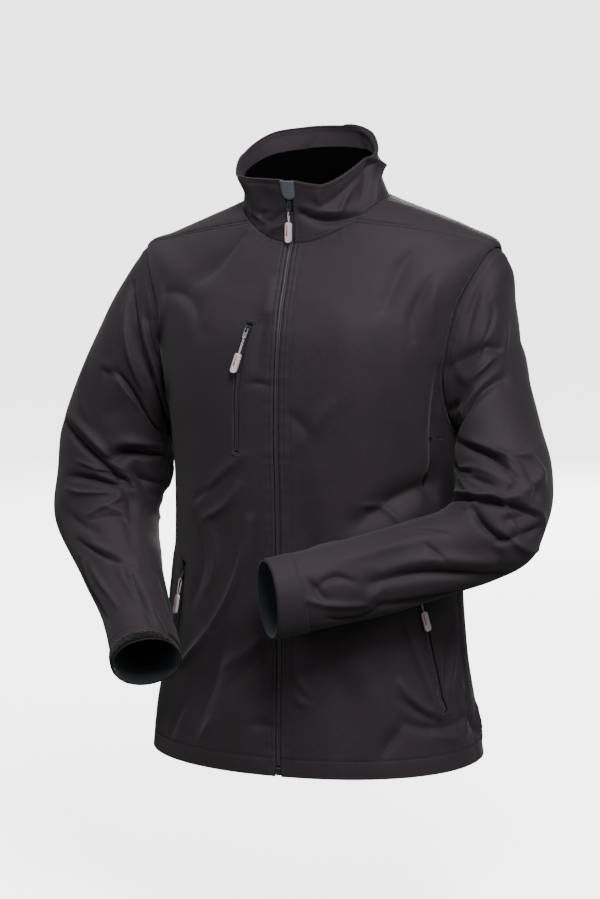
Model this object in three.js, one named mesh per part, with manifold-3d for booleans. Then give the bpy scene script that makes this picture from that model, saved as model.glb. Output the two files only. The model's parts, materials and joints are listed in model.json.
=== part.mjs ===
// A softshell jacket, filled out as it is when worn, with nobody in it.
// The wearer's left is +X, the front faces -Y and +Z is up. The origin lies between the shoulders, at the
// height of the side neck points, where the wearer's shoulders carry the jacket. All sizes are in millimetres.
import * as THREE from "three";
import { mergeVertices } from "three/addons/utils/BufferGeometryUtils.js";
import Module from "manifold-3d";

const wasm = await Module();
wasm.setup();

// Driving sizes of the cloth
const CLOTH = 2; // a bonded softshell, woven face and fleece back in one
const SEAM_GAP = 0.4; // between two pieces at a seam
const PANEL_GAP_DEG = 0.12; // the same gap, as an angle round the body, on each side of a seam
const LAID_GAP = 0.35; // under a piece that lies on a panel

// Driving sizes of the zips
const SLOT = 3.6; // from the centre front to the edge of each front
const ZIP_HALF = 11; // half the width of the closed zip behind the fronts
const ZIP_THICK = 1.2;
const ZIP_DEPTH = 3.1; // how far the zip lies behind the fronts' outer face
const WINDOW_HALF = 4.4; // half the width of the window that shows a pocket's zip
const POCKET_ZIP_HALF = 9;

// The pockets' windows, each from its lower end to its upper end. hand is 1 on the left front and -1 on the right
const POCKETS = [
  { name: "chest_pocket", hand: -1, zipDepth: 2.9, lowAngle: -104.3, lowUp: 402, topAngle: -100.5, topUp: 612 },
  { name: "hand_pocket_right", hand: -1, zipDepth: 3.5, lowAngle: -143, lowUp: 104, topAngle: -139, topUp: 250 },
  { name: "hand_pocket_left", hand: 1, zipDepth: 3.5, lowAngle: -20, lowUp: 72, topAngle: -31.5, topUp: 244 },
];

// Driving sizes of the sliders and their pulls
const SLIDER = { sideGap: 0.6, below: 7.2, above: 4.8, corner: 1.6, front: 0.6, back: 1.4 };
const BAIL = { width: 1.5, bar: 0.8, opening: 2.3, half: 2.1, foot: 0.4 }; // foot is its reach into the block
const TAB = { width: 5.4, top: 0.8, length: 13, thick: 1, corner: 1.3, hole: 1.3, rim: 1.3 };
const TAB_EYE = { low: -4.7, top: -0.5, half: 1.25, corner: 0.5 }; // the slot that the bail passes through
const CORD = { radius: 0.6, half: 1.65, main: 9, pocket: 19 }; // main and pocket are how much of it shows
const GRIP = { width: 8.4, length: 25, thick: 3, corner: 3.5 };
const PULL_LIFT = 3.2; // how far the end of a pull hangs off the cloth
const PULL_LENGTH = 52;
const SLIDER_FROM_TOP = { main: 31, pocket: 12 };

// Places up the side of the body, from the hem
const ARMPIT_UP = 415;
const SHOULDER_UP = 650;
const NECK_UP = 800;

// Places round the body in degrees: the left side is 0, the front -90, the back 90 and the right side 180
const FRONT = -90;

// The body as level loops. zip is how far left of the middle the centre front lies, half is half the width, front
// and back are the reach from the middle of the body, middle is where the loop is widest, lean moves the loop to
// the left, tilt lifts its left side and drops its right side, and the rises lift or drop its front and back.
const BODY = table(
  ["up", "zip", "z", "half", "front", "back", "middle", "lean", "tilt", "frontRise", "backRise", "square"],
  [
    [0, 8, -709, 219, 155, 142, 0, -10, 0, 0, 0, 2.15],
    [60, 8, -648, 210, 153, 139, 0, -11, 0, 0, 0, 2.15],
    [140, 7, -566, 196, 150, 132, 0, -8, 0, 0, 0, 2.12],
    [250, 4, -456, 188, 148, 124, 0, -5, 0, 0, 0, 2.1],
    [350, 2, -355, 187, 149, 128, 0, -2, 0, 0, 0, 2.15],
    [415, 0, -290, 191, 150, 136, 0, 0, 0, -2, 0, 2.25],
    [500, -1, -206, 203, 149, 141, 2, 2, 1, -14, 0, 2.3],
    [580, -2, -126, 219, 143, 138, 2, 4, 2, -38, -4, 2.15],
    [650, -4, -60, 235, 130, 124, 0, 5, 4, -66, -14, 1.8],
    [690, -4, -39, 198, 119, 110, -3, 5, 4, -64, -12, 1.82],
    [745, -5, -18, 145, 104, 86, -9, 5, 3, -56, -2, 1.95],
    [800, -6, 0, 94, 88, 56, -15, 5, 2, -49, 9, 2.05],
  ],
);

// The armhole as a closed curve round the shoulder. Its place is an angle: 0 at the top and 90 in front
const ARMHOLE = { frontReach: 22, backReach: 33, topAngle: -7, roundness: 0.88 };

// The shoulder seam runs forward of the ridge, most of all at the neck
const SHOULDER_SEAM = [
  { up: 650, angle: -7 },
  { up: 700, angle: -17 },
  { up: 750, angle: -29 },
  { up: 800, angle: -42 },
];

// The top edge of the collar, seen from above and from the side, at each place round the neck
const COLLAR_RIM = [
  { angle: -90, x: 4, y: -95, z: 28 },
  { angle: -66, x: 38, y: -90, z: 23 },
  { angle: -45, x: 58, y: -74, z: 30 },
  { angle: -20, x: 80, y: -34, z: 52 },
  { angle: 4, x: 86, y: -8, z: 61 },
  { angle: 32, x: 69, y: 22, z: 79 },
  { angle: 62, x: 40, y: 48, z: 85 },
  { angle: 90, x: 2, y: 56, z: 86 },
  { angle: 122, x: -34, y: 49, z: 84 },
  { angle: 150, x: -73, y: 27, z: 77 },
  { angle: 180, x: -94, y: -12, z: 56 },
  { angle: 208, x: -89, y: -51, z: 34 },
  { angle: 236, x: -67, y: -81, z: 28 },
  { angle: 270, x: 4, y: -95, z: 28 },
];

// The sleeves, from the armhole to the cuff. The out columns follow the side away from the body, past the point
// of the elbow, and the in columns the side next to it, past the crook. depth is half the sleeve's size from its
// front to its back. along is measured down the outer side.
const LEFT_SLEEVE = [
  { along: 0, outX: 240, outY: -6, outZ: -57, inX: 192, inY: 4, inZ: -290, depth: 74 },
  { along: 32, outX: 255, outY: -8, outZ: -84, inX: 199, inY: 2, inZ: -291, depth: 72 },
  { along: 70, outX: 257, outY: -11, outZ: -120, inX: 204, inY: -2, inZ: -298, depth: 70 },
  { along: 110, outX: 261, outY: -15, outZ: -158, inX: 206, inY: -9, inZ: -309, depth: 68 },
  { along: 160, outX: 270, outY: -24, outZ: -206, inX: 205, inY: -19, inZ: -323, depth: 66 },
  { along: 215, outX: 289, outY: -35, outZ: -258, inX: 204, inY: -31, inZ: -338, depth: 64 },
  { along: 270, outX: 314, outY: -46, outZ: -309, inX: 203, inY: -48, inZ: -350, depth: 63 },
  { along: 320, outX: 324, outY: -55, outZ: -358, inX: 205, inY: -72, inZ: -357, depth: 62 },
  { along: 370, outX: 315, outY: -60, outZ: -401, inX: 206, inY: -96, inZ: -363, depth: 59 },
  { along: 415, outX: 296, outY: -66, outZ: -435, inX: 198, inY: -116, inZ: -370, depth: 54 },
  { along: 460, outX: 259, outY: -84, outZ: -455, inX: 180, inY: -134, inZ: -376, depth: 48 },
  { along: 515, outX: 208, outY: -116, outZ: -472, inX: 148, inY: -153, inZ: -385, depth: 44 },
  { along: 575, outX: 150, outY: -154, outZ: -490, inX: 108, inY: -176, inZ: -396, depth: 42 },
  { along: 640, outX: 90, outY: -193, outZ: -502, inX: 64, inY: -202, inZ: -407, depth: 42 },
  { along: 712, outX: 26, outY: -230, outZ: -514, inX: 16, inY: -226, inZ: -419, depth: 42 },
];
const RIGHT_SLEEVE = [
  { along: 0, outX: -233, outY: -6, outZ: -63, inX: -192, inY: 4, inZ: -290, depth: 74 },
  { along: 32, outX: -246, outY: -6, outZ: -86, inX: -199, inY: 3, inZ: -291, depth: 72 },
  { along: 70, outX: -264, outY: -6, outZ: -118, inX: -204, inY: 2, inZ: -299, depth: 70 },
  { along: 120, outX: -287, outY: -6, outZ: -160, inX: -207, inY: 0, inZ: -314, depth: 68 },
  { along: 175, outX: -312, outY: -6, outZ: -208, inX: -209, inY: -4, inZ: -334, depth: 66 },
  { along: 235, outX: -336, outY: -4, outZ: -262, inX: -211, inY: -10, inZ: -354, depth: 64 },
  { along: 290, outX: -354, outY: 0, outZ: -314, inX: -210, inY: -20, inZ: -372, depth: 63 },
  { along: 345, outX: -356, outY: 4, outZ: -368, inX: -217, inY: -38, inZ: -388, depth: 62 },
  { along: 400, outX: -357, outY: 6, outZ: -420, inX: -221, inY: -60, inZ: -402, depth: 61 },
  { along: 445, outX: -345, outY: -1, outZ: -456, inX: -215, inY: -84, inZ: -416, depth: 58 },
  { along: 490, outX: -313, outY: -34, outZ: -482, inX: -201, inY: -108, inZ: -436, depth: 54 },
  { along: 545, outX: -272, outY: -89, outZ: -507, inX: -179, inY: -134, inZ: -468, depth: 50 },
  { along: 605, outX: -231, outY: -149, outZ: -537, inX: -150, inY: -158, inZ: -506, depth: 47 },
  { along: 675, outX: -196, outY: -214, outZ: -577, inX: -118, inY: -186, inZ: -551, depth: 45 },
];

// Folds, as soft ridges (depth above 0) and troughs (below 0) from one place to another. On the body the first
// number of a place is degrees round it and the second is millimetres up it. On a sleeve they are degrees
// round the sleeve (0 on the outer side, 90 in front) and millimetres along it.
const BODY_FOLDS = [
  { from: [-118, 300], to: [-163, 60], bow: 14, width: 20, depth: 6 },
  { from: [-128, 190], to: [-150, 20], bow: 0, width: 28, depth: -7 },
  { from: [-168, 330], to: [-172, 150], bow: 0, width: 16, depth: -5 },
  { from: [-42, 640], to: [-66, 520], bow: 6, width: 22, depth: -6 },
  { from: [-36, 570], to: [-46, 480], bow: 0, width: 16, depth: -4 },
  { from: [-142, 620], to: [-118, 540], bow: 0, width: 24, depth: -5 },
  { from: [-30, 250], to: [-60, 110], bow: -10, width: 26, depth: -6 },
  { from: [-12, 150], to: [-34, 95], bow: 10, width: 16, depth: 6 },
  { from: [4, 110], to: [-8, 30], bow: 6, width: 13, depth: -9 },
  { from: [16, 120], to: [10, 8], bow: 0, width: 15, depth: 8 },
  { from: [-58, 130], to: [-76, 70], bow: 0, width: 22, depth: 5 },
  { from: [60, 640], to: [72, 420], bow: 10, width: 28, depth: -5 },
  { from: [120, 640], to: [108, 420], bow: -10, width: 28, depth: -5 },
  { from: [34, 420], to: [62, 250], bow: 0, width: 24, depth: 5 },
  { from: [146, 420], to: [118, 250], bow: 0, width: 24, depth: 5 },
  { from: [50, 200], to: [80, 30], bow: 8, width: 26, depth: -6 },
  { from: [128, 210], to: [102, 40], bow: -8, width: 28, depth: -6 },
  { from: [150, 160], to: [160, 10], bow: 0, width: 18, depth: 6 },
];
const LEFT_FOLDS = [
  { from: [150, 190], to: [40, 128], bow: 12, width: 13, depth: -7 },
  { from: [160, 160], to: [70, 96], bow: 8, width: 14, depth: 5 },
  { from: [165, 262], to: [55, 150], bow: -14, width: 17, depth: -7 },
  { from: [175, 330], to: [62, 262], bow: -16, width: 16, depth: 7 },
  { from: [180, 372], to: [60, 345], bow: -16, width: 11, depth: -9 },
  { from: [180, 405], to: [88, 372], bow: -10, width: 13, depth: 7 },
  { from: [176, 442], to: [96, 408], bow: 0, width: 12, depth: -7 },
  { from: [30, 300], to: [10, 210], bow: 0, width: 20, depth: 4 },
  { from: [120, 600], to: [70, 470], bow: 8, width: 20, depth: -4 },
  { from: [60, 640], to: [40, 520], bow: 0, width: 18, depth: 4 },
  { from: [200, 350], to: [290, 320], bow: 12, width: 15, depth: -7 },
  { from: [205, 400], to: [300, 385], bow: 0, width: 16, depth: 6 },
  { from: [210, 250], to: [310, 170], bow: 12, width: 18, depth: -6 },
  { from: [340, 460], to: [290, 400], bow: 0, width: 18, depth: 5 },
];
const RIGHT_FOLDS = [
  { from: [70, 60], to: [120, 285], bow: 10, width: 12, depth: 6 },
  { from: [92, 50], to: [138, 262], bow: 8, width: 10, depth: -8 },
  { from: [118, 70], to: [152, 260], bow: 4, width: 10, depth: 5 },
  { from: [48, 150], to: [128, 300], bow: -12, width: 13, depth: -8 },
  { from: [30, 190], to: [110, 330], bow: -10, width: 16, depth: 6 },
  { from: [10, 230], to: [80, 350], bow: 14, width: 14, depth: -7 },
  { from: [40, 350], to: [150, 372], bow: 12, width: 15, depth: 8 },
  { from: [60, 392], to: [170, 404], bow: 8, width: 12, depth: -9 },
  { from: [70, 432], to: [165, 440], bow: 10, width: 14, depth: 6 },
  { from: [20, 470], to: [60, 600], bow: 6, width: 18, depth: 5 },
  { from: [95, 500], to: [75, 630], bow: 6, width: 18, depth: -5 },
  { from: [205, 330], to: [300, 300], bow: 10, width: 16, depth: -7 },
  { from: [208, 400], to: [300, 390], bow: 0, width: 16, depth: 6 },
  { from: [215, 220], to: [300, 140], bow: 10, width: 18, depth: -6 },
  { from: [330, 480], to: [290, 400], bow: 0, width: 18, depth: 5 },
];
const COLLAR_FOLDS = [
  { from: [-74, 20], to: [-30, 22], bow: 4, width: 8, depth: -4 },
  { from: [-20, 6], to: [-2, 74], bow: 0, width: 8, depth: 3.5 },
  { from: [232, 12], to: [212, 40], bow: 0, width: 8, depth: -3.5 },
  { from: [206, 4], to: [222, 26], bow: 0, width: 7, depth: 3 },
];
const BODY_MM_PER_DEG = 3;
const SLEEVE_MM_PER_DEG = 1.2;
const COLLAR_MM_PER_DEG = 1.5;
const COLLAR_HEIGHT = 78; // what the folds of the collar are measured on, from the seam to the rim
const FOLD_ENDS = [0.14, 0.86]; // the part of a half wave that a fold's height follows from end to end

// Small helpers
const { degToRad: rad, radToDeg: deg, lerp: mix, clamp, smoothstep } = THREE.MathUtils;
const signedPower = (value, power) => Math.sign(value) * Math.abs(value) ** power;
const range = (count) => Array.from({ length: count + 1 }, (_, i) => i / count);

// The rows of a table by the names of its columns.
function table(columns, rows) {
  return rows.map((row) => Object.fromEntries(columns.map((name, i) => [name, row[i]])));
}

// A function that reads every other column of a table, on smooth curves through its rows.
function reader(rows, key) {
  const columns = Object.keys(rows[0]).filter((column) => column !== key);
  return (at) => {
    let i = 0;
    while (i < rows.length - 2 && at > rows[i + 1][key]) i += 1;
    const [a, b] = [rows[i], rows[i + 1]];
    const before = rows[Math.max(i - 1, 0)];
    const after = rows[Math.min(i + 2, rows.length - 1)];
    const span = b[key] - a[key];
    const t = clamp((at - a[key]) / span, 0, 1);
    const value = {};
    for (const column of columns) {
      const leaving = ((b[column] - before[column]) / (b[key] - before[key])) * span;
      const arriving = ((after[column] - a[column]) / (after[key] - a[key])) * span;
      const rise = b[column] - a[column];
      const bend = leaving + arriving - 2 * rise;
      value[column] = a[column] + t * (leaving + t * (3 * rise - 2 * leaving - arriving + t * bend));
    }
    return value;
  };
}

// How far a table of folds pushes the cloth out at a place, given in the folds' own units.
function foldHeight(folds, mmPerDeg, degrees, along) {
  let height = 0;
  for (const { from, to, bow, width, depth } of folds) {
    const run = (to[0] - from[0]) * mmPerDeg;
    const rise = to[1] - from[1];
    const length = Math.hypot(run, rise);
    const across = (degrees - from[0]) * mmPerDeg;
    const t = (across * run + (along - from[1]) * rise) / length ** 2;
    const inside = clamp(t, 0, 1);
    const beside = ((along - from[1]) * run - across * rise) / length - bow * 4 * inside * (1 - inside);
    const beyond = (t - inside) * length;
    const fade = Math.sin(Math.PI * mix(...FOLD_ENDS, inside));
    height += depth * fade * Math.exp(-(beside ** 2 + beyond ** 2) / width ** 2);
  }
  return height;
}

// The outward direction of a surface, given as a function of two numbers.
function outward(surface, a, b, hand = 1) {
  const step = 0.5;
  const alongA = surface(a + step, b).sub(surface(a - step, b));
  const alongB = surface(a, b + step).sub(surface(a, b - step));
  return alongA.cross(alongB).normalize().multiplyScalar(hand);
}

// A surface with its folds raised on it.
function folded(smooth, folds, mmPerDeg, hand = 1) {
  return (a, b) => {
    const height = foldHeight(folds, mmPerDeg, a, b);
    return smooth(a, b).addScaledVector(outward(smooth, a, b, hand), height);
  };
}

// The closed wall between a surface and the same surface moved in by a thickness. across and along list the
// places of its points, which place turns into the surface's own where the two differ.
function wall({ surface, across, along, place, thickness, lift = 0, hand = 1, round = false, facing }) {
  const columns = across.length;
  const rows = along.length;
  const points = { outer: [], inner: [] };
  for (const v of along) {
    for (const u of across) {
      const [a, b] = place ? place(u, v) : [u, v];
      const out = facing ? facing(a, b, v) : outward(surface, a, b, hand);
      const base = surface(a, b);
      points.outer.push(base.clone().addScaledVector(out, lift));
      points.inner.push(base.clone().addScaledVector(out, lift - thickness));
    }
  }
  const shift = rows * columns;
  const index = [];
  const quad = (p, q, r, s) => index.push(p, q, r, p, r, s);
  const wrap = round ? columns : columns - 1;
  for (let j = 0; j < rows - 1; j += 1) {
    for (let i = 0; i < wrap; i += 1) {
      const next = (i + 1) % columns;
      const [low, high] = [j * columns, (j + 1) * columns];
      quad(low + i, low + next, high + next, high + i);
      quad(high + i + shift, high + next + shift, low + next + shift, low + i + shift);
    }
  }
  for (let i = 0; i < wrap; i += 1) {
    const next = (i + 1) % columns;
    const top = (rows - 1) * columns;
    quad(next, i, i + shift, next + shift);
    quad(top + i, top + next, top + next + shift, top + i + shift);
  }
  for (let j = 0; j < rows - 1 && !round; j += 1) {
    const [low, high] = [j * columns, (j + 1) * columns];
    quad(low, high, high + shift, low + shift);
    quad(high + columns - 1, low + columns - 1, low + columns - 1 + shift, high + columns - 1 + shift);
  }
  const geometry = new THREE.BufferGeometry();
  geometry.setFromPoints([...points.outer, ...points.inner]);
  geometry.setIndex(volumeOf(geometry, index) < 0 ? index.reverse() : index);
  return geometry;
}

function volumeOf(geometry, index) {
  const position = geometry.getAttribute("position");
  const [a, b, c] = [new THREE.Vector3(), new THREE.Vector3(), new THREE.Vector3()];
  let volume = 0;
  for (let i = 0; i < index.length; i += 3) {
    a.fromBufferAttribute(position, index[i]);
    b.fromBufferAttribute(position, index[i + 1]);
    c.fromBufferAttribute(position, index[i + 2]);
    volume += a.dot(b.cross(c)) / 6;
  }
  return volume;
}

// The body
const bodyAt = reader(BODY, "up");
const seamAt = reader(SHOULDER_SEAM, "up");

function smoothBody(angle, up) {
  const loop = bodyAt(up);
  const [side, fore] = [Math.cos(rad(angle)), Math.sin(rad(angle))];
  const power = 2 / loop.square;
  const reach = fore < 0 ? loop.front + loop.middle : loop.back - loop.middle;
  const rise = fore < 0 ? loop.frontRise : loop.backRise;
  return new THREE.Vector3(
    loop.lean + loop.half * signedPower(side, power),
    loop.middle + reach * signedPower(fore, power),
    loop.z + rise * fore * fore + loop.tilt * side,
  );
}
const body = folded(smoothBody, BODY_FOLDS, BODY_MM_PER_DEG);

// The angle round the body at a distance from the centre front.
function besideFront(distance, up) {
  const { half, square, zip } = bodyAt(up);
  const offset = (zip + distance) / half;
  const beside = deg(Math.asin(Math.abs(offset) ** (square / 2)));
  return FRONT + Math.sign(offset) * beside;
}

// A place on the armhole's curve, drawn in by an inset towards the middle of the hole.
function armhole(turn, inset = 0) {
  const [top, fore] = [Math.cos(rad(turn)), Math.sin(rad(turn))];
  const reach = fore > 0 ? ARMHOLE.frontReach : ARMHOLE.backReach;
  const middle = (ARMPIT_UP + SHOULDER_UP) / 2;
  const half = (SHOULDER_UP - ARMPIT_UP) / 2;
  return {
    angle:
      (ARMHOLE.topAngle * (1 + top)) / 2 -
      (reach - inset / BODY_MM_PER_DEG) * signedPower(fore, ARMHOLE.roundness),
    up: middle + (half - inset) * top,
  };
}

// How the edges of the left front and of the back run up the body: side seam, armhole, then shoulder seam.
function panelEdge(up, side) {
  if (up <= ARMPIT_UP) return 0;
  if (up >= SHOULDER_UP) return seamAt(up).angle;
  const middle = (ARMPIT_UP + SHOULDER_UP) / 2;
  const top = clamp((up - middle) / (SHOULDER_UP - middle), -1, 1);
  const turn = deg(Math.acos(top));
  return armhole(side === "front" ? turn : 360 - turn).angle;
}

const ARMHOLE_STEPS = 12; // from the armpit to the shoulder, shared by the panels and half the sleeve's ring
const panelRows = [
  ...range(11).map((t) => t * ARMPIT_UP),
  ...range(ARMHOLE_STEPS)
    .slice(1)
    .map((t) => armhole(180 * (1 - t)).up),
  ...range(5)
    .slice(1)
    .map((t) => mix(SHOULDER_UP, NECK_UP, t)),
];

// The columns of a panel keep to their places round the body and crowd towards an edge that is cut back.
const CROWDING = 1.6;

// A place across a front, from 0 at the zip to 1 at its side edge. hand is 1 for the left front and -1 for the
// right one.
function acrossFront(t, up, hand, gap = 0) {
  const zipEdge = besideFront(hand * SLOT, up);
  const side = hand > 0 ? 0 : -180;
  return mix(zipEdge, side, t) + hand * (panelEdge(up, "front") - gap) * t ** CROWDING;
}

const FRONT_COLUMNS = 12;
function front(hand) {
  const place = (t, up) => [acrossFront(t, up, hand, PANEL_GAP_DEG), up];
  return wall({ surface: body, across: range(FRONT_COLUMNS), along: panelRows, place, thickness: CLOTH });
}

// The outer face of a front as its flat facets, for the pieces that lie along it.
function facets(hand) {
  const between = (value, low, high) => (value - low) / (high - low);
  return (angle, up) => {
    const j = clamp(panelRows.findIndex((row) => row > up) - 1, 0, panelRows.length - 2);
    const [low, high] = [panelRows[j], panelRows[j + 1]];
    const s = between(up, low, high);
    const angleOf = (k, row) => acrossFront(k / FRONT_COLUMNS, row, hand);
    const column = (k) => mix(angleOf(k, low), angleOf(k, high), s);
    let i = 0;
    while (i < FRONT_COLUMNS - 1 && hand * (angle - column(i + 1)) > 0) i += 1;
    const a = between(angle, column(i), column(i + 1));
    const corner = (k, row) => body(angleOf(k, row), row);
    const [p, q, n, r] = [corner(i, low), corner(i + 1, low), corner(i, high), corner(i + 1, high)];
    if (a >= s) return p.addScaledVector(q.clone().sub(p), a).addScaledVector(r.sub(q), s);
    return p.addScaledVector(n.clone().sub(p), s).addScaledVector(r.sub(n), a);
  };
}

function back() {
  const place = (t, up) => {
    const edge = panelEdge(up, "back") + PANEL_GAP_DEG;
    return [180 * t + edge * ((1 - t) ** CROWDING - t ** CROWDING), up];
  };
  return wall({ surface: body, across: range(18), along: panelRows, place, thickness: CLOTH });
}

// The sleeves. Near the armhole their rings face the front, and further down they are square to the arm.
const SQUARE_TO_ARM = [60, 260];
const SLEEVE_ROUNDNESS = 0.94; // below 1, its rings are a little fuller than an ellipse
const EASED_OVER = 130; // how far down the sleeve the armhole's own shape is still felt
const EASING = 1.5;
function sleeveSurface(rows, hand) {
  const at = reader(rows, "along");
  const near = 4;
  const outerOf = (s) => new THREE.Vector3(s.outX, s.outY, s.outZ);
  const innerOf = (s) => new THREE.Vector3(s.inX, s.inY, s.inZ);
  const middleOf = (s) => outerOf(s).lerp(innerOf(s), 0.5);
  const ring = (turn, along) => {
    const s = at(along);
    const chord = outerOf(s).sub(innerOf(s)).divideScalar(2);
    const ahead = middleOf(at(along + near)).sub(middleOf(at(along - near)));
    const across = ahead.cross(chord).setLength(hand);
    const fore = new THREE.Vector3(0, -1, 0).lerp(across, smoothstep(along, ...SQUARE_TO_ARM));
    fore.projectOnPlane(chord.clone().normalize()).setLength(s.depth);
    return middleOf(s)
      .addScaledVector(chord, signedPower(Math.cos(rad(turn)), SLEEVE_ROUNDNESS))
      .addScaledVector(fore, signedPower(Math.sin(rad(turn)), SLEEVE_ROUNDNESS));
  };
  const seam = (turn) => {
    const { angle, up } = armhole(turn, SEAM_GAP);
    return body(hand > 0 ? angle : 180 - angle, up);
  };
  return (turn, along) => {
    const felt = (1 - smoothstep(along, 0, EASED_OVER)) ** EASING;
    const point = ring(turn, along);
    return felt > 0 ? point.addScaledVector(seam(turn).sub(ring(turn, 0)), felt) : point;
  };
}

const SLEEVE_RING = range(2 * ARMHOLE_STEPS).slice(0, -1).map((t) => 360 * t);
const leftSleeve = folded(sleeveSurface(LEFT_SLEEVE, 1), LEFT_FOLDS, SLEEVE_MM_PER_DEG, 1);
const rightSleeve = folded(sleeveSurface(RIGHT_SLEEVE, -1), RIGHT_FOLDS, SLEEVE_MM_PER_DEG, -1);

function sleeve(surface, rows, hand) {
  const length = rows.at(-1).along;
  const along = [0, 7, 16, 28, ...range(22).map((t) => mix(44, length, t))];
  // At the armhole the cloth is as thick as the body's, in the body's direction, so that the two edges meet
  const facing = (turn, down, v) => {
    if (v > 0) return outward(surface, turn, down, hand);
    const { angle, up } = armhole(turn, SEAM_GAP);
    return outward(body, hand > 0 ? angle : 180 - angle, up);
  };
  return wall({ surface, across: SLEEVE_RING, along, thickness: CLOTH, facing, round: true });
}

// A band laid round the end of a sleeve, on the same lines round it as the sleeve's own facets.
function cuffBand(surface, rows, hand, { firstLine, lines, width, fromEdge, thickness }) {
  const edge = rows.at(-1).along - fromEdge;
  const step = 180 / ARMHOLE_STEPS;
  return wall({
    surface,
    across: range(lines).map((t) => step * (firstLine + t * lines)),
    along: range(2).map((t) => edge - width * (1 - t)),
    thickness,
    lift: LAID_GAP + thickness,
    hand,
  });
}

// The collar
const COLLAR_BELLY = 5; // how far it is drawn in halfway up
const NECK_MIDDLE_Y = -18;
const rimAt = reader(COLLAR_RIM, "angle");

function smoothCollar(angle, height) {
  const seam = smoothBody(angle > 180 ? angle - 360 : angle, NECK_UP);
  const rim = rimAt(angle < FRONT ? angle + 360 : angle);
  const t = height / COLLAR_HEIGHT;
  const belly = COLLAR_BELLY * Math.sin(Math.PI * clamp(t, 0, 1));
  const point = seam.clone().lerp(new THREE.Vector3(rim.x, rim.y, rim.z), t);
  const inwards = new THREE.Vector3(-point.x, NECK_MIDDLE_Y - point.y, 0).setLength(belly);
  return point.add(inwards);
}
const collarSurface = folded(smoothCollar, COLLAR_FOLDS, COLLAR_MM_PER_DEG);
const COLLAR_LIFT = 0.5; // the seam's gap between the collar and the neck edge

// Degrees round the collar for a distance beside the centre front, where its loop is a little flatter than round.
function besideCollarFront(distance) {
  const flatness = 1.2;
  return deg(distance / bodyAt(NECK_UP).half) * flatness;
}

function collar() {
  const middle = besideFront(0, NECK_UP);
  const edge = besideCollarFront(SLOT);
  const across = range(40).map((t) => mix(middle + edge, 360 + middle - edge, t));
  const along = range(5).map((t) => mix(COLLAR_LIFT, COLLAR_HEIGHT, t));
  return wall({ surface: collarSurface, across, along, thickness: CLOTH });
}

// The stretch round the centre front, by a distance across it and a height from the hem to the collar's edge.
function centreFront(distance, height) {
  if (height <= NECK_UP) return body(besideFront(distance, height), height);
  return collarSurface(besideFront(0, NECK_UP) + besideCollarFront(distance), height - NECK_UP);
}

// The main zip runs behind both fronts and up the collar.
function mainZip() {
  const below = 2; // the zip starts this far above the hem
  const seam = 3; // and passes the collar seam between two rows this far from it
  const fromRim = 5;
  const along = [
    ...range(24).map((t) => mix(below, NECK_UP - seam, t)),
    ...range(5).map((t) => NECK_UP + mix(seam, COLLAR_HEIGHT - fromRim, t)),
  ];
  return wall({
    surface: centreFront,
    across: [-ZIP_HALF, -4, 4, ZIP_HALF],
    along,
    thickness: ZIP_THICK,
    lift: -ZIP_DEPTH,
  });
}

// The chin guard covers the top end of the zip. Its lower end is rounded and it sits a little to the left.
function chinGuard() {
  const half = 6.4;
  const toLeft = 0.9;
  const height = 24;
  const thickness = 1.8;
  const fromRim = 0.6;
  const narrowest = 0.3;
  const place = (side, up) => {
    const roundness = Math.sqrt(1 - Math.max(0, 1 - up / (1.4 * half)) ** 2);
    const distance = toLeft + side * half * Math.max(roundness, narrowest);
    return [distance, NECK_UP + COLLAR_HEIGHT - fromRim - height + up];
  };
  return wall({
    surface: centreFront,
    across: [-1, -0.6, -0.2, 0.2, 0.6, 1],
    along: [0.4, 1.5, 3.5, 6, 9, 13, 18, height],
    place,
    thickness,
    lift: LAID_GAP + thickness,
  });
}

// A place beside the line of a pocket's window. along runs from 0 at its lower end to 1 at its upper end.
function besideWindow(pocket, distance, along) {
  const angle = mix(pocket.lowAngle, pocket.topAngle, along);
  const up = mix(pocket.lowUp, pocket.topUp, along);
  const perDegree = smoothBody(angle + 0.5, up).distanceTo(smoothBody(angle - 0.5, up));
  const run = (pocket.topAngle - pocket.lowAngle) * perDegree;
  const rise = pocket.topUp - pocket.lowUp;
  const length = Math.hypot(run, rise);
  return [angle + (distance * rise) / length / perDegree, up - (distance * run) / length];
}

// The zip behind a window, made from the facets of its front and moved in.
function pocketZip(pocket) {
  const beyond = 0.04; // how far it runs past each end of the window, as a part of the window's length
  return wall({
    surface: facets(pocket.hand),
    across: [-POCKET_ZIP_HALF, -3, 3, POCKET_ZIP_HALF],
    along: range(20).map((t) => mix(-beyond, 1 + beyond, t)),
    place: (distance, along) => besideWindow(pocket, distance, along),
    thickness: ZIP_THICK,
    lift: -pocket.zipDepth,
  });
}

function pocketWindow(pocket) {
  return wall({
    surface: body,
    across: [-WINDOW_HALF, 0, WINDOW_HALF],
    along: range(16),
    place: (distance, along) => besideWindow(pocket, distance, along),
    thickness: 5 * CLOTH,
    lift: 2.5 * CLOTH,
  });
}

// Joining and cutting of closed solids
function solidOf(geometry) {
  const merged = mergeVertices(geometry.clone().deleteAttribute("uv").deleteAttribute("normal"), 1e-4);
  return new wasm.Manifold(
    new wasm.Mesh({
      numProp: 3,
      vertProperties: new Float32Array(merged.getAttribute("position").array),
      triVerts: new Uint32Array(merged.getIndex().array),
    }),
  );
}

function geometryOf(solid) {
  const { vertProperties, triVerts } = solid.getMesh();
  const geometry = new THREE.BufferGeometry();
  geometry.setAttribute("position", new THREE.BufferAttribute(new Float32Array(vertProperties), 3));
  geometry.setIndex(Array.from(triVerts));
  return geometry;
}

const join = (a, b) => geometryOf(solidOf(a).add(solidOf(b)));
const cut = (a, b) => geometryOf(solidOf(a).subtract(solidOf(b)));

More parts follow.
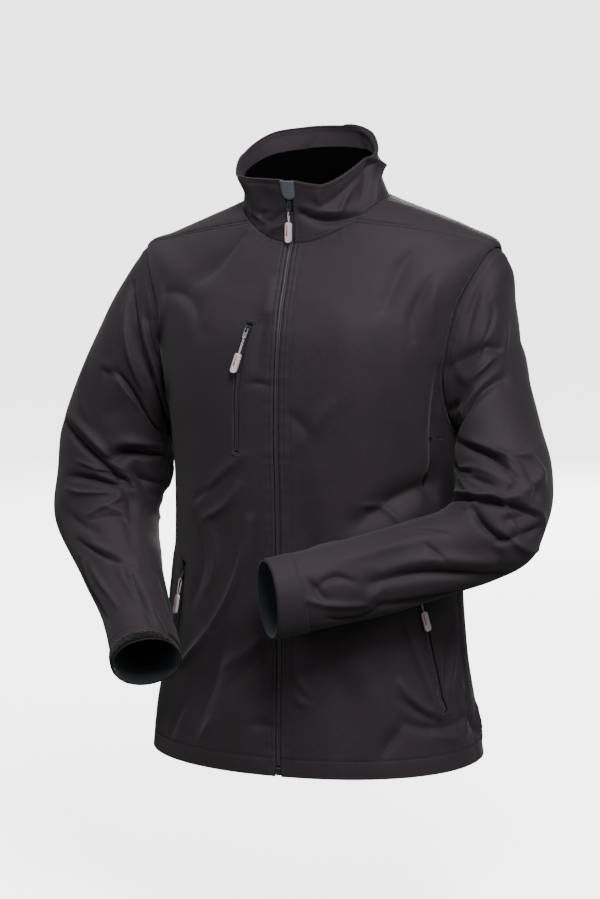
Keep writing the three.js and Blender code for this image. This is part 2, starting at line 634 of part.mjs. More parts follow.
// A flat outline seen from the front, made solid from one depth back to another.
function plate(shape, from, to, curveSegments = 5) {
  const options = { depth: to - from, bevelEnabled: false, curveSegments };
  return new THREE.ExtrudeGeometry(shape, options).rotateX(Math.PI / 2).translate(0, to, 0);
}

function roundedBox(width, low, high, radius) {
  const half = width / 2;
  const shape = new THREE.Shape();
  shape.absarc(half - radius, low + radius, radius, -Math.PI / 2, 0);
  shape.absarc(half - radius, high - radius, radius, 0, Math.PI / 2);
  shape.absarc(radius - half, high - radius, radius, Math.PI / 2, Math.PI);
  shape.absarc(radius - half, low + radius, radius, Math.PI, 1.5 * Math.PI);
  return shape;
}

// The slider runs in the slot. Its bail stands out of its face and holds the tab's crossbar.
function slider(slotHalf) {
  const width = 2 * (slotHalf - SLIDER.sideGap);
  const face = roundedBox(width, -SLIDER.below, SLIDER.above, SLIDER.corner);
  const block = plate(face, -SLIDER.front, SLIDER.back, 3);
  const [reach, half] = [BAIL.opening + BAIL.bar, BAIL.half + BAIL.bar];
  const outline = new THREE.Shape([
    new THREE.Vector2(-BAIL.foot, -half),
    new THREE.Vector2(reach - BAIL.bar, -half),
    new THREE.Vector2(reach, -BAIL.half),
    new THREE.Vector2(reach, BAIL.half),
    new THREE.Vector2(reach - BAIL.bar, half),
    new THREE.Vector2(-BAIL.foot, half),
    new THREE.Vector2(-BAIL.foot, BAIL.half),
    new THREE.Vector2(BAIL.opening, BAIL.half),
    new THREE.Vector2(BAIL.opening, -BAIL.half),
    new THREE.Vector2(-BAIL.foot, -BAIL.half),
  ]);
  // The outline's first axis points out of the block and its second one up
  const bail = new THREE.ExtrudeGeometry(outline, { depth: BAIL.width, bevelEnabled: false });
  const outwards = new THREE.Vector3(0, -1, 0);
  const upwards = new THREE.Vector3(0, 0, 1);
  const sideways = outwards.clone().cross(upwards);
  bail.applyMatrix4(new THREE.Matrix4().makeBasis(outwards, upwards, sideways));
  bail.translate(BAIL.width / 2, -SLIDER.front, 0);
  return join(block, bail);
}

// The parts of a pull hang from the origin, which is the middle of the tab's crossbar.
function pullTab() {
  const low = TAB.top - TAB.length;
  const shape = roundedBox(TAB.width, low, TAB.top, TAB.corner);
  const eye = roundedBox(2 * TAB_EYE.half, TAB_EYE.low, TAB_EYE.top, TAB_EYE.corner);
  shape.holes.push(new THREE.Path(eye.getPoints(1)));
  const hole = new THREE.Path();
  hole.absarc(0, low + TAB.rim + TAB.hole, TAB.hole, 0, 2 * Math.PI);
  shape.holes.push(hole);
  return plate(shape, -TAB.thick / 2, TAB.thick / 2, 3);
}

function pullCord(length) {
  const low = TAB.top - TAB.length;
  const atGrip = 0.75;
  const aboveGrip = 1.2;
  const half = [
    [atGrip, low - length],
    [aboveGrip, low - length + 4],
    [CORD.half, low - 1.5],
    [CORD.half, low + 1],
  ];
  const points = [
    ...half.map(([y, z]) => new THREE.Vector3(0, -y, z)),
    new THREE.Vector3(0, 0, low + TAB.rim + TAB.hole),
    ...half.reverse().map(([y, z]) => new THREE.Vector3(0, y, z)),
  ];
  const circle = new THREE.Shape().absarc(0, 0, CORD.radius, 0, 2 * Math.PI);
  const extrudePath = new THREE.CatmullRomCurve3(points);
  return new THREE.ExtrudeGeometry(circle, { steps: 14, extrudePath, curveSegments: 3 });
}

function pullGrip(cordLength) {
  const top = TAB.top - TAB.length - cordLength - LAID_GAP;
  const face = roundedBox(GRIP.width, top - GRIP.length, top, GRIP.corner);
  return plate(face, -GRIP.thick / 2, GRIP.thick / 2, 4);
}

function material(color, roughness, metalness = 0) {
  return new THREE.MeshStandardMaterial({ color, roughness, metalness });
}
const shellCloth = () => material("#35323a", 0.8);
const zipTape = () => material("#2b292d", 0.7);

const jacket = new THREE.Group();
function add(name, geometry, finish, parent = jacket) {
  const mesh = new THREE.Mesh(geometry, finish);
  mesh.name = name;
  parent.add(mesh);
  return mesh;
}

// A slider with its pull at a place on the cloth. high is the slider's place and low is where the pull ends.
function addSlider(name, high, low, outwards, slotHalf, cordLength) {
  const up = high.clone().sub(low.clone().addScaledVector(outwards, PULL_LIFT)).normalize();
  const back = outwards.clone().negate().addScaledVector(up, outwards.dot(up)).normalize();
  const across = back.clone().cross(up);
  const frame = new THREE.Group();
  frame.name = `${name}_frame`;
  frame.position.copy(high);
  frame.quaternion.setFromRotationMatrix(new THREE.Matrix4().makeBasis(across, back, up));
  jacket.add(frame);
  add(`${name}_slider`, slider(slotHalf), material("#4a4a50", 0.4, 0.6), frame);
  const pull = new THREE.Group();
  pull.name = `${name}_pull`;
  pull.position.y = -SLIDER.front - BAIL.opening / 2;
  frame.add(pull);
  add(`${name}_tab`, pullTab(), material("#8d9095", 0.35, 0.8), pull);
  add(`${name}_cord`, pullCord(cordLength), material("#b9b6ba", 0.8), pull);
  add(`${name}_grip`, pullGrip(cordLength), material("#c9c4c6", 0.6), pull);
}

// The fronts, with the windows of the pockets cut out
function frontWithWindows(hand) {
  const pockets = POCKETS.filter((pocket) => pocket.hand === hand);
  return pockets.reduce((panel, pocket) => cut(panel, pocketWindow(pocket)), front(hand));
}
add("front_left", frontWithWindows(1), shellCloth());
add("front_right", frontWithWindows(-1), shellCloth());
add("back", back(), shellCloth());
add("collar", collar(), shellCloth());
add("sleeve_left", sleeve(leftSleeve, LEFT_SLEEVE, 1), shellCloth());
add("sleeve_right", sleeve(rightSleeve, RIGHT_SLEEVE, -1), shellCloth());

// The tab and the loop strip at each cuff. Their places round it are counted in the sleeve's own facets
const TAB_BAND = { width: 40, thickness: CLOTH };
const LOOP_BAND = { width: 12.5, fromEdge: 1, thickness: 1 };
const cuffs = [
  {
    side: "left",
    surface: leftSleeve,
    rows: LEFT_SLEEVE,
    hand: 1,
    tab: { ...TAB_BAND, fromEdge: 1.5, firstLine: 1, lines: 11 },
    loop: { ...LOOP_BAND, firstLine: 13, lines: 10 },
  },
  {
    side: "right",
    surface: rightSleeve,
    rows: RIGHT_SLEEVE,
    hand: -1,
    tab: { ...TAB_BAND, fromEdge: 14, firstLine: 10, lines: 10 },
    loop: { ...LOOP_BAND, firstLine: -3, lines: 13 },
  },
];
for (const { side, surface, rows, hand, tab, loop } of cuffs) {
  add(`cuff_tab_${side}`, cuffBand(surface, rows, hand, tab), shellCloth());
  add(`cuff_loop_${side}`, cuffBand(surface, rows, hand, loop), material("#1d1c1f", 0.95));
}

add("zip_main", mainZip(), zipTape());
add("chin_guard", chinGuard(), material("#59616b", 0.8));
for (const pocket of POCKETS) {
  add(`${pocket.name}_zip`, pocketZip(pocket), zipTape());
}

// The sliders and their pulls
function addMainSlider() {
  const high = NECK_UP + COLLAR_HEIGHT - SLIDER_FROM_TOP.main;
  const out = outward(centreFront, 0, high);
  addSlider("main", centreFront(0, high), centreFront(0, high - PULL_LENGTH), out, SLOT, CORD.main);
}

function addPocketSlider(pocket) {
  const length = pocket.topUp - pocket.lowUp;
  const at = 1 - SLIDER_FROM_TOP.pocket / length;
  const high = besideWindow(pocket, 0, at);
  const low = besideWindow(pocket, 0, at - PULL_LENGTH / length);
  addSlider(pocket.name, body(...high), body(...low), outward(body, ...high), WINDOW_HALF, CORD.pocket);
}

addMainSlider();
POCKETS.forEach(addPocketSlider);

export default jacket;
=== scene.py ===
# %% [markdown]
# # A softshell jacket, filled out as worn
# The jacket hangs in the air as it does in a shop's picture, with nobody in it. The sliders, pull tabs,
# cords and grips come from the CAD part and get their finishes here. The cloth is made again on the same
# form, because folds and sewing are finer than a CAD part needs to be.

import json
import math

import bpy
import numpy as np
from mathutils import Matrix, Vector

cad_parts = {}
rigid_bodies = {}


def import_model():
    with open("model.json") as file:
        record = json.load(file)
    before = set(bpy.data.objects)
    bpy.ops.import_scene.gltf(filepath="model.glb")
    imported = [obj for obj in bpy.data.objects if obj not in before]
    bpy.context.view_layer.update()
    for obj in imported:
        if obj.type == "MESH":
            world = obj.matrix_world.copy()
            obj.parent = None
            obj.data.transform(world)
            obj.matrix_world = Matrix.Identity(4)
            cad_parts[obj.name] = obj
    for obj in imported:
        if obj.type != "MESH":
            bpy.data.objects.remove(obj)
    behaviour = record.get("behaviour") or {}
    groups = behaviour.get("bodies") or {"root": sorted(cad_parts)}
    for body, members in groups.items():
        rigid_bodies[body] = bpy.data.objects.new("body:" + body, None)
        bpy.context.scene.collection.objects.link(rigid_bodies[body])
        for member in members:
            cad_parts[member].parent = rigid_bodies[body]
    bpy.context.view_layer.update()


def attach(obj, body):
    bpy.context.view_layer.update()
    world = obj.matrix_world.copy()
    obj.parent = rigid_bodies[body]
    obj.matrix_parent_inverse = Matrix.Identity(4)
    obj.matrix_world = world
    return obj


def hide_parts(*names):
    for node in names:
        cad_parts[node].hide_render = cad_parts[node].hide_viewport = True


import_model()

# %% [markdown]
# ## The form of the body
# A jacket's trunk could be sculpted or draped by a cloth simulation. A stack of level loops is used
# instead, because a short table of loops can be checked against a tape measure. Smooth curves run through
# the rows. All sizes here are in millimetres.

# %% Loops up the body, the shoulder seam and the collar's rim
BODY = """
up  zip    z  half front back middle lean tilt front_rise back_rise square
0     8 -709   219   155  142      0  -10    0          0         0   2.15
60    8 -648   210   153  139      0  -11    0          0         0   2.15
140   7 -566   196   150  132      0   -8    0          0         0   2.12
250   4 -456   188   148  124      0   -5    0          0         0   2.1
350   2 -355   187   149  128      0   -2    0          0         0   2.15
415   0 -290   191   150  136      0    0    0         -2         0   2.25
500  -1 -206   203   149  141      2    2    1        -14         0   2.3
580  -2 -126   219   143  138      2    4    2        -38        -4   2.15
650  -4  -60   235   130  124      0    5    4        -66       -14   1.8
690  -4  -41   198   119  110     -3    5    6        -62       -12   1.82
745  -5  -20   145   104   86     -9    5    5        -54        -2   1.95
800  -6   -1    94    88   56    -15    5    3        -48        10   2.05
"""
ARMPIT_UP, SHOULDER_UP, NECK_UP = 415, 650, 800
FRONT = -90

SHOULDER_SEAM = """
up  angle
650    -7
700   -17
750   -29
800   -42
"""

COLLAR_RIM = """
angle   x    y   z
-90     4  -95  28
-66    38  -90  23
-45    58  -74  30
-20    80  -34  52
4      86   -8  61
32     69   22  79
62     40   48  85
90      2   56  86
122   -34   49  84
150   -73   27  77
180   -94  -12  56
208   -89  -51  34
236   -67  -81  28
270     4  -95  28
"""
COLLAR_HEIGHT = 78


def named_rows(table):
    """The rows of a table as dictionaries of words. Its first line names the columns."""
    lines = table.strip().splitlines()
    names = lines[0].split()
    return [dict(zip(names, line.split())) for line in lines[1:]]


def rows_of(table):
    """The rows of a table as dictionaries of numbers."""
    return [{name: float(value) for name, value in row.items()} for row in named_rows(table)]


def reader(table):
    """A function that reads the columns of a table at a value of its first one, on smooth curves."""
    rows = rows_of(table)
    names = list(rows[0])
    numbers = np.array([list(row.values()) for row in rows])
    keys = numbers[:, 0]
    last = len(keys) - 1

    def at(value):
        value = np.asarray(value, float)
        i = np.searchsorted(keys[1:-1], value, side="left")
        a, b = numbers[i], numbers[i + 1]
        before, after = numbers[np.maximum(i - 1, 0)], numbers[np.minimum(i + 2, last)]
        span = b[..., :1] - a[..., :1]
        t = np.clip((value[..., None] - a[..., :1]) / span, 0, 1)
        leaving = (b - before) / (b[..., :1] - before[..., :1]) * span
        arriving = (after - a) / (after[..., :1] - a[..., :1]) * span
        rise = b - a
        bend = leaving + arriving - 2 * rise
        out = a + t * (leaving + t * (3 * rise - 2 * leaving - arriving + t * bend))
        return {name: out[..., k] for k, name in enumerate(names)}

    return at


body_at = reader(BODY)
shoulder_seam_at = reader(SHOULDER_SEAM)
rim_at = reader(COLLAR_RIM)


def signed_power(value, power):
    """A power that keeps the sign, which squares off a circle or sharpens it."""
    return np.sign(value) * np.abs(value) ** power


def points(x, y, z):
    """Three arrays as one array of points."""
    return np.stack(np.broadcast_arrays(x, y, z), -1).astype(float)


def unit(vectors):
    """The same directions with a length of 1."""
    return vectors / np.maximum(np.linalg.norm(vectors, axis=-1, keepdims=True), 1e-9)


def smooth_step(value, low, high):
    """Rises softly from 0 at low to 1 at high."""
    t = np.clip((value - low) / (high - low), 0, 1)
    return t * t * (3 - 2 * t)


def smooth_body(angle, up):
    """The body without creases, as a function of the angle round it and the distance up it."""
    loop = body_at(up)
    side, fore = np.cos(np.radians(angle)), np.sin(np.radians(angle))
    power = 2 / loop["square"]
    ahead = fore < 0
    reach = np.where(ahead, loop["front"] + loop["middle"], loop["back"] - loop["middle"])
    rise = np.where(ahead, loop["front_rise"], loop["back_rise"])
    return points(
        loop["lean"] + loop["half"] * signed_power(side, power),
        loop["middle"] + reach * signed_power(fore, power),
        loop["z"] + rise * fore * fore + loop["tilt"] * side,
    )


def outward(surface, a, b, hand=1):
    """The outward direction of a surface that is given as a function of two numbers."""
    step = 0.5
    along_a = surface(a + step, b) - surface(a - step, b)
    along_b = surface(a, b + step) - surface(a, b - step)
    return hand * unit(np.cross(along_a, along_b))


print("the body's hem is", round(float(body_at(0.0)["half"]) * 2), "mm wide")

# %% [markdown]
# ## Creases
# Cloth over a body creases in long soft ridges and troughs that run from where it is held to where it is
# slack. A crease here is a line between two places with a width and a depth. It can bow sideways, and
# crisp says how sharp its top is. The first number of a place goes round the piece in degrees and the
# second along it. A simulation would make folds of its own choosing, so each one is placed where
# the picture shows it, and similar ones are placed on the hidden sides.

# %% Creases of the body, the sleeves and the collar
CREASE_COLUMNS = "from_a from_b to_a to_b bow width depth crisp"

BODY_CREASES = CREASE_COLUMNS + """
-100  318 -119  168   12   5  10.3 1.25
-119  168 -134  118    2   6   9.2 1.3
-112  160 -123   40    1  18 -14.9 1.6
 -99  305 -112  188    9  10  -4.6 1.6
-104  360 -122  315    8   5   5.8 1.4
-101  400 -125  335    0   6   4.6 1.5
-107  378 -129  335    4   5  -4.6 1.4
-130  308 -130  205   16   9  -4.6 1.6
-121  310 -121  222   16   6   3.4 1.5
 -94  170 -112  125    2   6   4.6 1.5
 -92  155 -107  100   -2   8  -4.6 1.6
-128   78 -136   28   -1   6  -4.6 1.5
-118   35 -112   65    0   5   4.6 1.5
 -97   60  -89   60    2   5  -3.4 1.5
 -20  358  -58  318   -8  15 -16.1 1.6
 -57  338  -40  315    9   4   5.8 1.3
 -21  375  -22  338   -4   8  -6.9 1.6
 -38  192  -26   82    0   5   5.8 1.4
 -42  115  -24   70   -7   5   5.8 1.4
 -42   95  -24   62   -2   5  -5.8 1.4
 -42   68   -8   60  -10   6  -6.9 1.4
 -27   50   -6   40   -6   6   4.6 1.5
  -4   85    2   35   -4   4  -9.2 1.3
  -6   95   -8   45   -1   5   6.9 1.4
  12   60   11   22  -16   5   6.9 1.4
  -6  190  -16   98    5   6   5.8 1.5
 -16  148  -20   88    4   6  -4.6 1.5
 -82  128  -78  105   -1   4   3.4 1.4
 -82  102  -78   90   -2   4   3.4 1.4
 -44   60  -52   28   -1   8  -5.8 1.6
 -36  698  -56  620  -15  11    -8 1.6
 -39  652  -44  558  -11   9  -4.6 1.7
 -40  652  -36  565   -2   8   3.4 1.7
-130  768 -130  632    9  14  -9.2 1.6
-142  612 -120  580   31  15  -4.6 1.7
-142  615 -156  538   15   5   5.8 1.4
-158  532 -154  452   26   6   4.6 1.5
 -96  628  -96  535    0   8  -4.6 1.6
 -98  502  -92  502    3   5  -3.4 1.5
 -86  460  -79  425    2   8  -3.4 1.6
 -73  475  -82  412   -1  10   3.4 1.7
 -97  628  -98  708   -1   8   3.4 1.7
 -50  578  -42  422   -7  18   3.4 2
 -82  348  -80  172    8  20  -5.8 1.9
 -73  658  -72  452   11  20   3.4 1.9
 -94  168  -92   38   -5  18  -4.6 1.9
 -70  148  -68   38   12  18  -4.6 1.9
 -52  172  -54   98   -9  15   3.4 1.9
 -27  505  -19  345    0  10   -12 1.5
  60  640   72  420   10  22  -5.8 1.7
 120  640  108  420  -10  22  -5.8 1.7
  34  420   62  250    0  16   5.8 1.5
 146  420  118  250    0  16   5.8 1.5
  50  200   80   30    8  18  -6.9 1.6
 128  210  102   40   -8  18  -6.9 1.6
 150  160  160   10    0  12   6.9 1.5
  28  400   70  330   12   8   4.6 1.4
  30  380   66  300   10   9  -5.8 1.5
 152  400  112  330  -12   8   4.6 1.4
 150  380  116  300  -10   9  -5.8 1.5
  20  300   48  200    8  10   4.6 1.5
 160  300  134  190   -8  10   4.6 1.5
  40  650   58  560    6   9  -4.6 1.5
 140  650  122  560   -6   9  -4.6 1.5
  70  140   92   90    6   9   4.6 1.5
  88  240  100  150    0  12  -3.4 1.8
  18  120   30   20    0   9  -5.8 1.5
  24  130   38   30    0   7   4.6 1.4
  84  770   96  700    0  10  -3.4 1.6
-168  330 -172  150    0  12  -5.8 1.7
-160  250 -166  120    4   8   4.6 1.5
"""

LEFT_CREASES = CREASE_COLUMNS + """
  40   15   70   35    0   6  -3.9 1.6
  39   40   62   75   21   6  -3.9 1.6
 103   10   26  128   -4   5 -11.7 1.3
  96   25   21  130  -29   5   6.5 1.5
  17  128   11  100    1   6   3.9 1.6
 154    8   24  165  -49   9   -13 1.5
 118   62   30  152  -33   8   5.2 1.6
 135    5  108   68   -4   4  -5.2 1.4
 115  160   68  315    2   5 -16.9 1.3
 114  160   53  298   -3   6   6.5 1.5
 130  190  117  302   -7   4  -7.8 1.3
 136  302   77  325  -45   5   6.5 1.4
  79  328   67  288   -5   5   5.2 1.4
 120  312   96  332    1   5  -7.8 1.4
 127  258   85  318   -2   8   5.2 1.6
 170  360   43  360    0   5 -16.9 1.3
 160  330   69  340  -20   6   7.8 1.5
  69  338   18  292   -2   6   5.2 1.6
  44  272   25  305    9   8   5.2 1.6
  68  268   20  260  -12   5   3.9 1.6
  50  300   58  350   16   9  -6.5 1.7
 124  380   83  412   -5   5   -13 1.3
 133  380   72  390   35   5   7.8 1.4
  85  415   68  392   -1   5  -9.1 1.4
  85  380   53  365    1   5  -9.1 1.4
  63  390   32  370    0   5  -9.1 1.4
  89  395   19  395   -8   6   6.5 1.5
  70  348   22  362    4   8   5.2 1.6
  36  452   88  582  -22   9 -10.4 1.5
  59  432   99  562  -22  11   5.2 1.8
 163  502  128  450    3   5  -3.9 1.5
 120  488   93  485   -1   4  -3.9 1.4
  86  428   51  450    5   8  -5.2 1.6
  86  668   61  600   -3   5   5.2 1.5
  61  600   83  572    2   6   5.2 1.5
 109  658   78  645    1   5  -5.2 1.5
  98  648   96  605   12   6  -5.2 1.6
  53  585   24  500   -1   9  -6.5 1.7
  48  645   51  588  -18   6  -5.2 1.6
 130  610  132  472    1  11   3.9 1.8
 200  350  290  320   12   9 -10.4 1.3
 205  330  285  296   10   9   6.5 1.5
 205  400  300  385    0  10   7.8 1.5
 210  425  292  408    6   5 -10.4 1.3
 210  250  310  170   12  12  -7.8 1.5
 215  225  300  140   10   8   6.5 1.4
 340  460  290  400    0  12   6.5 1.6
 215  290  262  262   -8   6  -6.5 1.3
 330  120  270   60    0   9  -5.2 1.5
 300  230  330  330    8   9   5.2 1.5
 220  150  262   90    0   7  -6.5 1.4
 230  520  270  640    8  10   5.2 1.6
 290  520  310  660   -6   9  -5.2 1.6
 200  600  230  680    0   8   5.2 1.5
 240   20  256  130    4   7  -5.2 1.4
 284   24  300  120    4   8   5.2 1.5
"""

RIGHT_CREASES = CREASE_COLUMNS + """
  36   38  107   40    9   6 -15.6 1.3
 107   40  173  108  -38   6 -14.3 1.4
  66   65  108   68    1   5   7.8 1.4
  41   40   67   65    6   5   3.9 1.5
  67   35  123   15    4   4   7.8 1.3
  74   25  112    8    6   4  -7.8 1.3
  69   32   72   15    1   3  -3.9 1.3
  71  138  152  105  -27   6 -11.7 1.3
  61  140  136   95  -10   8   5.2 1.6
 109  268  161  188  -12   8 -16.9 1.4
 105  245  155  152  -11   8   6.5 1.5
 135  242  175  338    9  10 -10.4 1.5
  28  268  132  325  -19   5 -14.3 1.3
 132  325  165  490  -19   7  -6.8 1.3
  42  248  119  280  -14   8   6.5 1.6
  78  345  131  335   -5   6   -13 1.3
 102  315  141  330  -16   5 -10.4 1.3
  82  312   95  330  -16   5   5.2 1.5
 133  345  120  425  -17   5   6.5 1.4
  80  370  123  362    9   6   5.2 1.5
  84  405  120  468    5   9  -5.2 1.7
 121  440  164  465  -29   6  -5.2 1.5
 126  410  165  435  -13   7   3.9 1.6
  93  480  159  542   12   4  -6.5 1.4
 106  475  165  518   18   8   3.9 1.6
 140  552  165  528    7   7   3.9 1.4
 146  552  132  645   -4   8 -10.4 1.4
 140  530  130  630    5   9   5.2 1.7
  92  522   90  612   -1   5   5.2 1.4
  73  515   58  622   11   6  -3.9 1.6
  97  138   91  192   -1   8  -3.9 1.7
  35  175   69  225    7   9   3.9 1.8
 138  275  180  300    0  15    -8 1.6
 197  175  204  300    0   9     4 1.6
 212  330  300  300   10  10  -6.2 1.3
 212  305  296  276   10  10   3.9 1.5
 224  400  300  390    0  10   4.7 1.5
 222  372  292  350    6  10  -6.2 1.3
 215  220  300  140   10  12  -7.8 1.5
 212  250  290  180   10   8   6.5 1.4
 330  480  290  400    0  12   6.5 1.6
 214  280  262  250   -8   6  -6.5 1.3
 332  120  272   60    0   9  -5.2 1.5
 300  230  332  330    8   9   5.2 1.5
 222  150  262   90    0   7  -6.5 1.4
 228  500  268  620    8  10    -4 1.6
 290  490  312  620   -6   9  -5.2 1.6
 200  540  214  655    0  10    -4 1.8
 240   20  256  130    4   7  -5.2 1.4
 284   24  300  120    4   8   5.2 1.5
"""

COLLAR_CREASES = CREASE_COLUMNS + """
 -85   36  -38    0    0   4  -8.8 1.3
 -82   45  -44   15    5   6   5.4 1.5
 -36   46  -52   20   -2   5   4.7 1.4
 -18   78   40   24   -1   5   7.4 1.3
  40   24  -18    1  -28   4   5.4 1.3
 -18   73  -28   24    5   8  -6.8 1.6
 232   21  236    0   16   4   4.1 1.4
 238    3  262   38    1   4  -4.1 1.4
 250   34  244   12   -9   4  -4.1 1.4
 246    5  264   25    1   4   4.1 1.4
 240   68  228   17    2   5   3.4 1.6
 270   71  -82   38  -25   5  -3.4 1.6
 -63   75  -64   44   -7   6   3.4 1.6
 250   69  246   38    3   8  -3.4 1.7
  40   10   56   60    4   7   3.6 1.5
 128   12  112   58   -4   7   3.6 1.5
  84    8   90   40    0   8  -2.4 1.6
 206    4  222   26    0   7   3.6 1.5
"""

BODY_MM_PER_DEGREE, SLEEVE_MM_PER_DEGREE, COLLAR_MM_PER_DEGREE = 3.0, 1.2, 1.5
print("creases:", sum(len(rows_of(t)) for t in (BODY_CREASES, LEFT_CREASES, RIGHT_CREASES, COLLAR_CREASES)))


# %% How a crease moves the cloth
def crease_height(creases, mm_per_degree, degrees, along):
    """How far a table of creases pushes the cloth out at each place."""
    height = np.zeros(np.broadcast(degrees, along).shape)
    for row in creases:
        run = (row["to_a"] - row["from_a"]) * mm_per_degree
        rise = row["to_b"] - row["from_b"]
        length = math.hypot(run, rise)
        across = (degrees - row["from_a"]) * mm_per_degree
        up = along - row["from_b"]
        t = (across * run + up * rise) / length**2
        inside = np.clip(t, 0, 1)
        beside = (up * run - across * rise) / length - row["bow"] * 4 * inside * (1 - inside)
        away = np.hypot(beside, (t - inside) * length) / row["width"]
        fade = np.sin(np.pi * (0.14 + 0.72 * inside))
        height += row["depth"] * fade * np.exp(-(away ** row["crisp"]))
    return height


def creased(smooth, table, mm_per_degree, hand=1):
    """A smooth surface with its table of creases pushed into it."""
    creases = rows_of(table)

    def surface(a, b):
        height = crease_height(creases, mm_per_degree, a, b)
        return smooth(a, b) + height[..., None] * outward(smooth, a, b, hand)

    return surface


body = creased(smooth_body, BODY_CREASES, BODY_MM_PER_DEGREE)
print("the deepest crease of the body:", min(row["depth"] for row in rows_of(BODY_CREASES)), "mm")

# %% [markdown]
# ## Where the panels end
# The armhole is one closed curve that the panels and the sleeve share. The side seams run straight down
# from it, and the shoulder seams lie a little forward of the ridge of the shoulder, as on most jackets.
# Cutting panels out of one form keeps their edges together, as sewing does.

# %% Edges of the panels
SLOT = 3.6
ARMHOLE_FRONT, ARMHOLE_BACK, ARMHOLE_TOP, ARMHOLE_ROUNDNESS = 22, 33, -7, 0.88
SEAM_GAP = 0.4


def beside_front(distance, up):
    """The angle round the body at a distance from the centre front."""
    loop = body_at(up)
    offset = (loop["zip"] + distance) / loop["half"]
    lean = np.degrees(np.arccos(np.abs(offset) ** (loop["square"] / 2)))
    return FRONT + np.sign(offset) * (90 - lean)


def armhole(turn, inset=0.0):
    """The angle and height of a place on the left armhole, turned from its top towards the back."""
    top, fore = np.cos(np.radians(turn)), np.sin(np.radians(turn))
    reach = np.where(fore > 0, ARMHOLE_FRONT, ARMHOLE_BACK) - inset / BODY_MM_PER_DEGREE
    middle, half = (ARMPIT_UP + SHOULDER_UP) / 2, (SHOULDER_UP - ARMPIT_UP) / 2
    angle = ARMHOLE_TOP * (1 + top) / 2 - reach * signed_power(fore, ARMHOLE_ROUNDNESS)
    return angle, middle + (half - inset) * top


def panel_edge(up, side):
    """The angle of a panel's edge on the left side: side seam, then armhole, then shoulder seam."""
    middle, half = (ARMPIT_UP + SHOULDER_UP) / 2, (SHOULDER_UP - ARMPIT_UP) / 2
    turn = np.degrees(np.arccos(np.clip((up - middle) / half, -1, 1)))
    hole = armhole(turn if side == "front" else 360 - turn)[0]
    above = shoulder_seam_at(np.maximum(up, SHOULDER_UP))["angle"]
    return np.where(up <= ARMPIT_UP, 0, np.where(up >= SHOULDER_UP, above, hole))


def armhole_rows():
    """Heights of panel rows beside the armhole, close together where its curve is nearly level."""
    ends = [armhole(np.array(180.0 - turn))[1] for turn in range(6, 36, 6)]
    low = np.array(ends, float)
    high = ARMPIT_UP + SHOULDER_UP - low[::-1]
    return np.concatenate([low, np.linspace(low[-1], high[0], 64)[1:-1], high])


HEM_ROWS = [0, 0.8, 2, 4, 7, 11, 15, 19, 21.4, 22.4, 23.4, 24.4, 26.5, 30]
BODY_ROWS = np.concatenate(
    [
        HEM_ROWS,
        np.linspace(30, ARMPIT_UP, 122)[1:],
        armhole_rows(),
        [SHOULDER_UP],
        np.linspace(SHOULDER_UP, NECK_UP, 48)[1:-1],
        [NECK_UP - 2.2, NECK_UP - 1, NECK_UP],
    ]
)
CROWDING = 1.6
SEWN_EDGE = [0, 0.7, 1.6, 2.8, 3.8, 4.4, 5, 6, 7, 8.4, 10, 11.2, 12, 12.8, 14.2, 15, 15.8, 17.5]


def columns(width, step=4.0):
    """Places across a panel from 0 to 1, close together near both edges, where the sewing is."""
    edge = np.array(SEWN_EDGE) / width
    middle = np.linspace(edge[-1], 1 - edge[-1], int((width - 2 * SEWN_EDGE[-1]) / step))
    return np.concatenate([edge, middle[1:-1], 1 - edge[::-1]])


def front_places(hand, cols):
    """Angles and heights over one front, from the zip to its outer edges."""
    up = BODY_ROWS[:, None] + 0 * cols
    zip_edge = beside_front(hand * SLOT, up)
    side = 0 if hand > 0 else -180
    cut_back = panel_edge(up, "front")
    return zip_edge + (side - zip_edge) * cols + hand * cut_back * cols**CROWDING, up


def back_places(cols):
    """Angles and heights over the back, from its left edge to its right one."""
    up = BODY_ROWS[:, None] + 0 * cols
    edge = panel_edge(up, "back")
    return 180 * cols + edge * ((1 - cols) ** CROWDING - cols**CROWDING), up


print("rows up the body:", len(BODY_ROWS))

# %% [markdown]
# ## Thin closed walls
# Softshell is a woven face bonded to a fleece, about 2 mm thick. Each piece is a grid of points on its
# form, with the same grid moved inwards behind it and a rim between them. Blender's Solidify modifier
# could do this too, but it can't easily face only the top of the collar's inside with the shell cloth. The
# face and rim take the shell and the back the fleece. The grid's real lengths become its texture
# coordinates, so weaves and piles keep their true size.

# %% From a grid to a closed wall
CLOTH = 2.0
MM = 0.001


def grid_normals(grid, closed=False, flip=False):
    """The outward directions of a grid of points. A closed grid goes all the way round."""
    if closed:
        round_it = np.roll(grid, -1, 1) - np.roll(grid, 1, 1)
    else:
        round_it = np.gradient(grid, axis=1)
    up_it = np.gradient(grid, axis=0)
    normals = unit(np.cross(round_it, up_it))
    return -normals if flip else normals


def lengths(grid):
    """Real lengths across and up a grid from its first column and row."""
    across = np.linalg.norm(np.diff(grid, axis=1), axis=-1)
    up = np.linalg.norm(np.diff(grid, axis=0), axis=-1)
    across = np.concatenate([np.zeros((grid.shape[0], 1)), np.cumsum(across, 1)], 1)
    up = np.concatenate([np.zeros((1, grid.shape[1])), np.cumsum(up, 0)], 0)
    return across, up


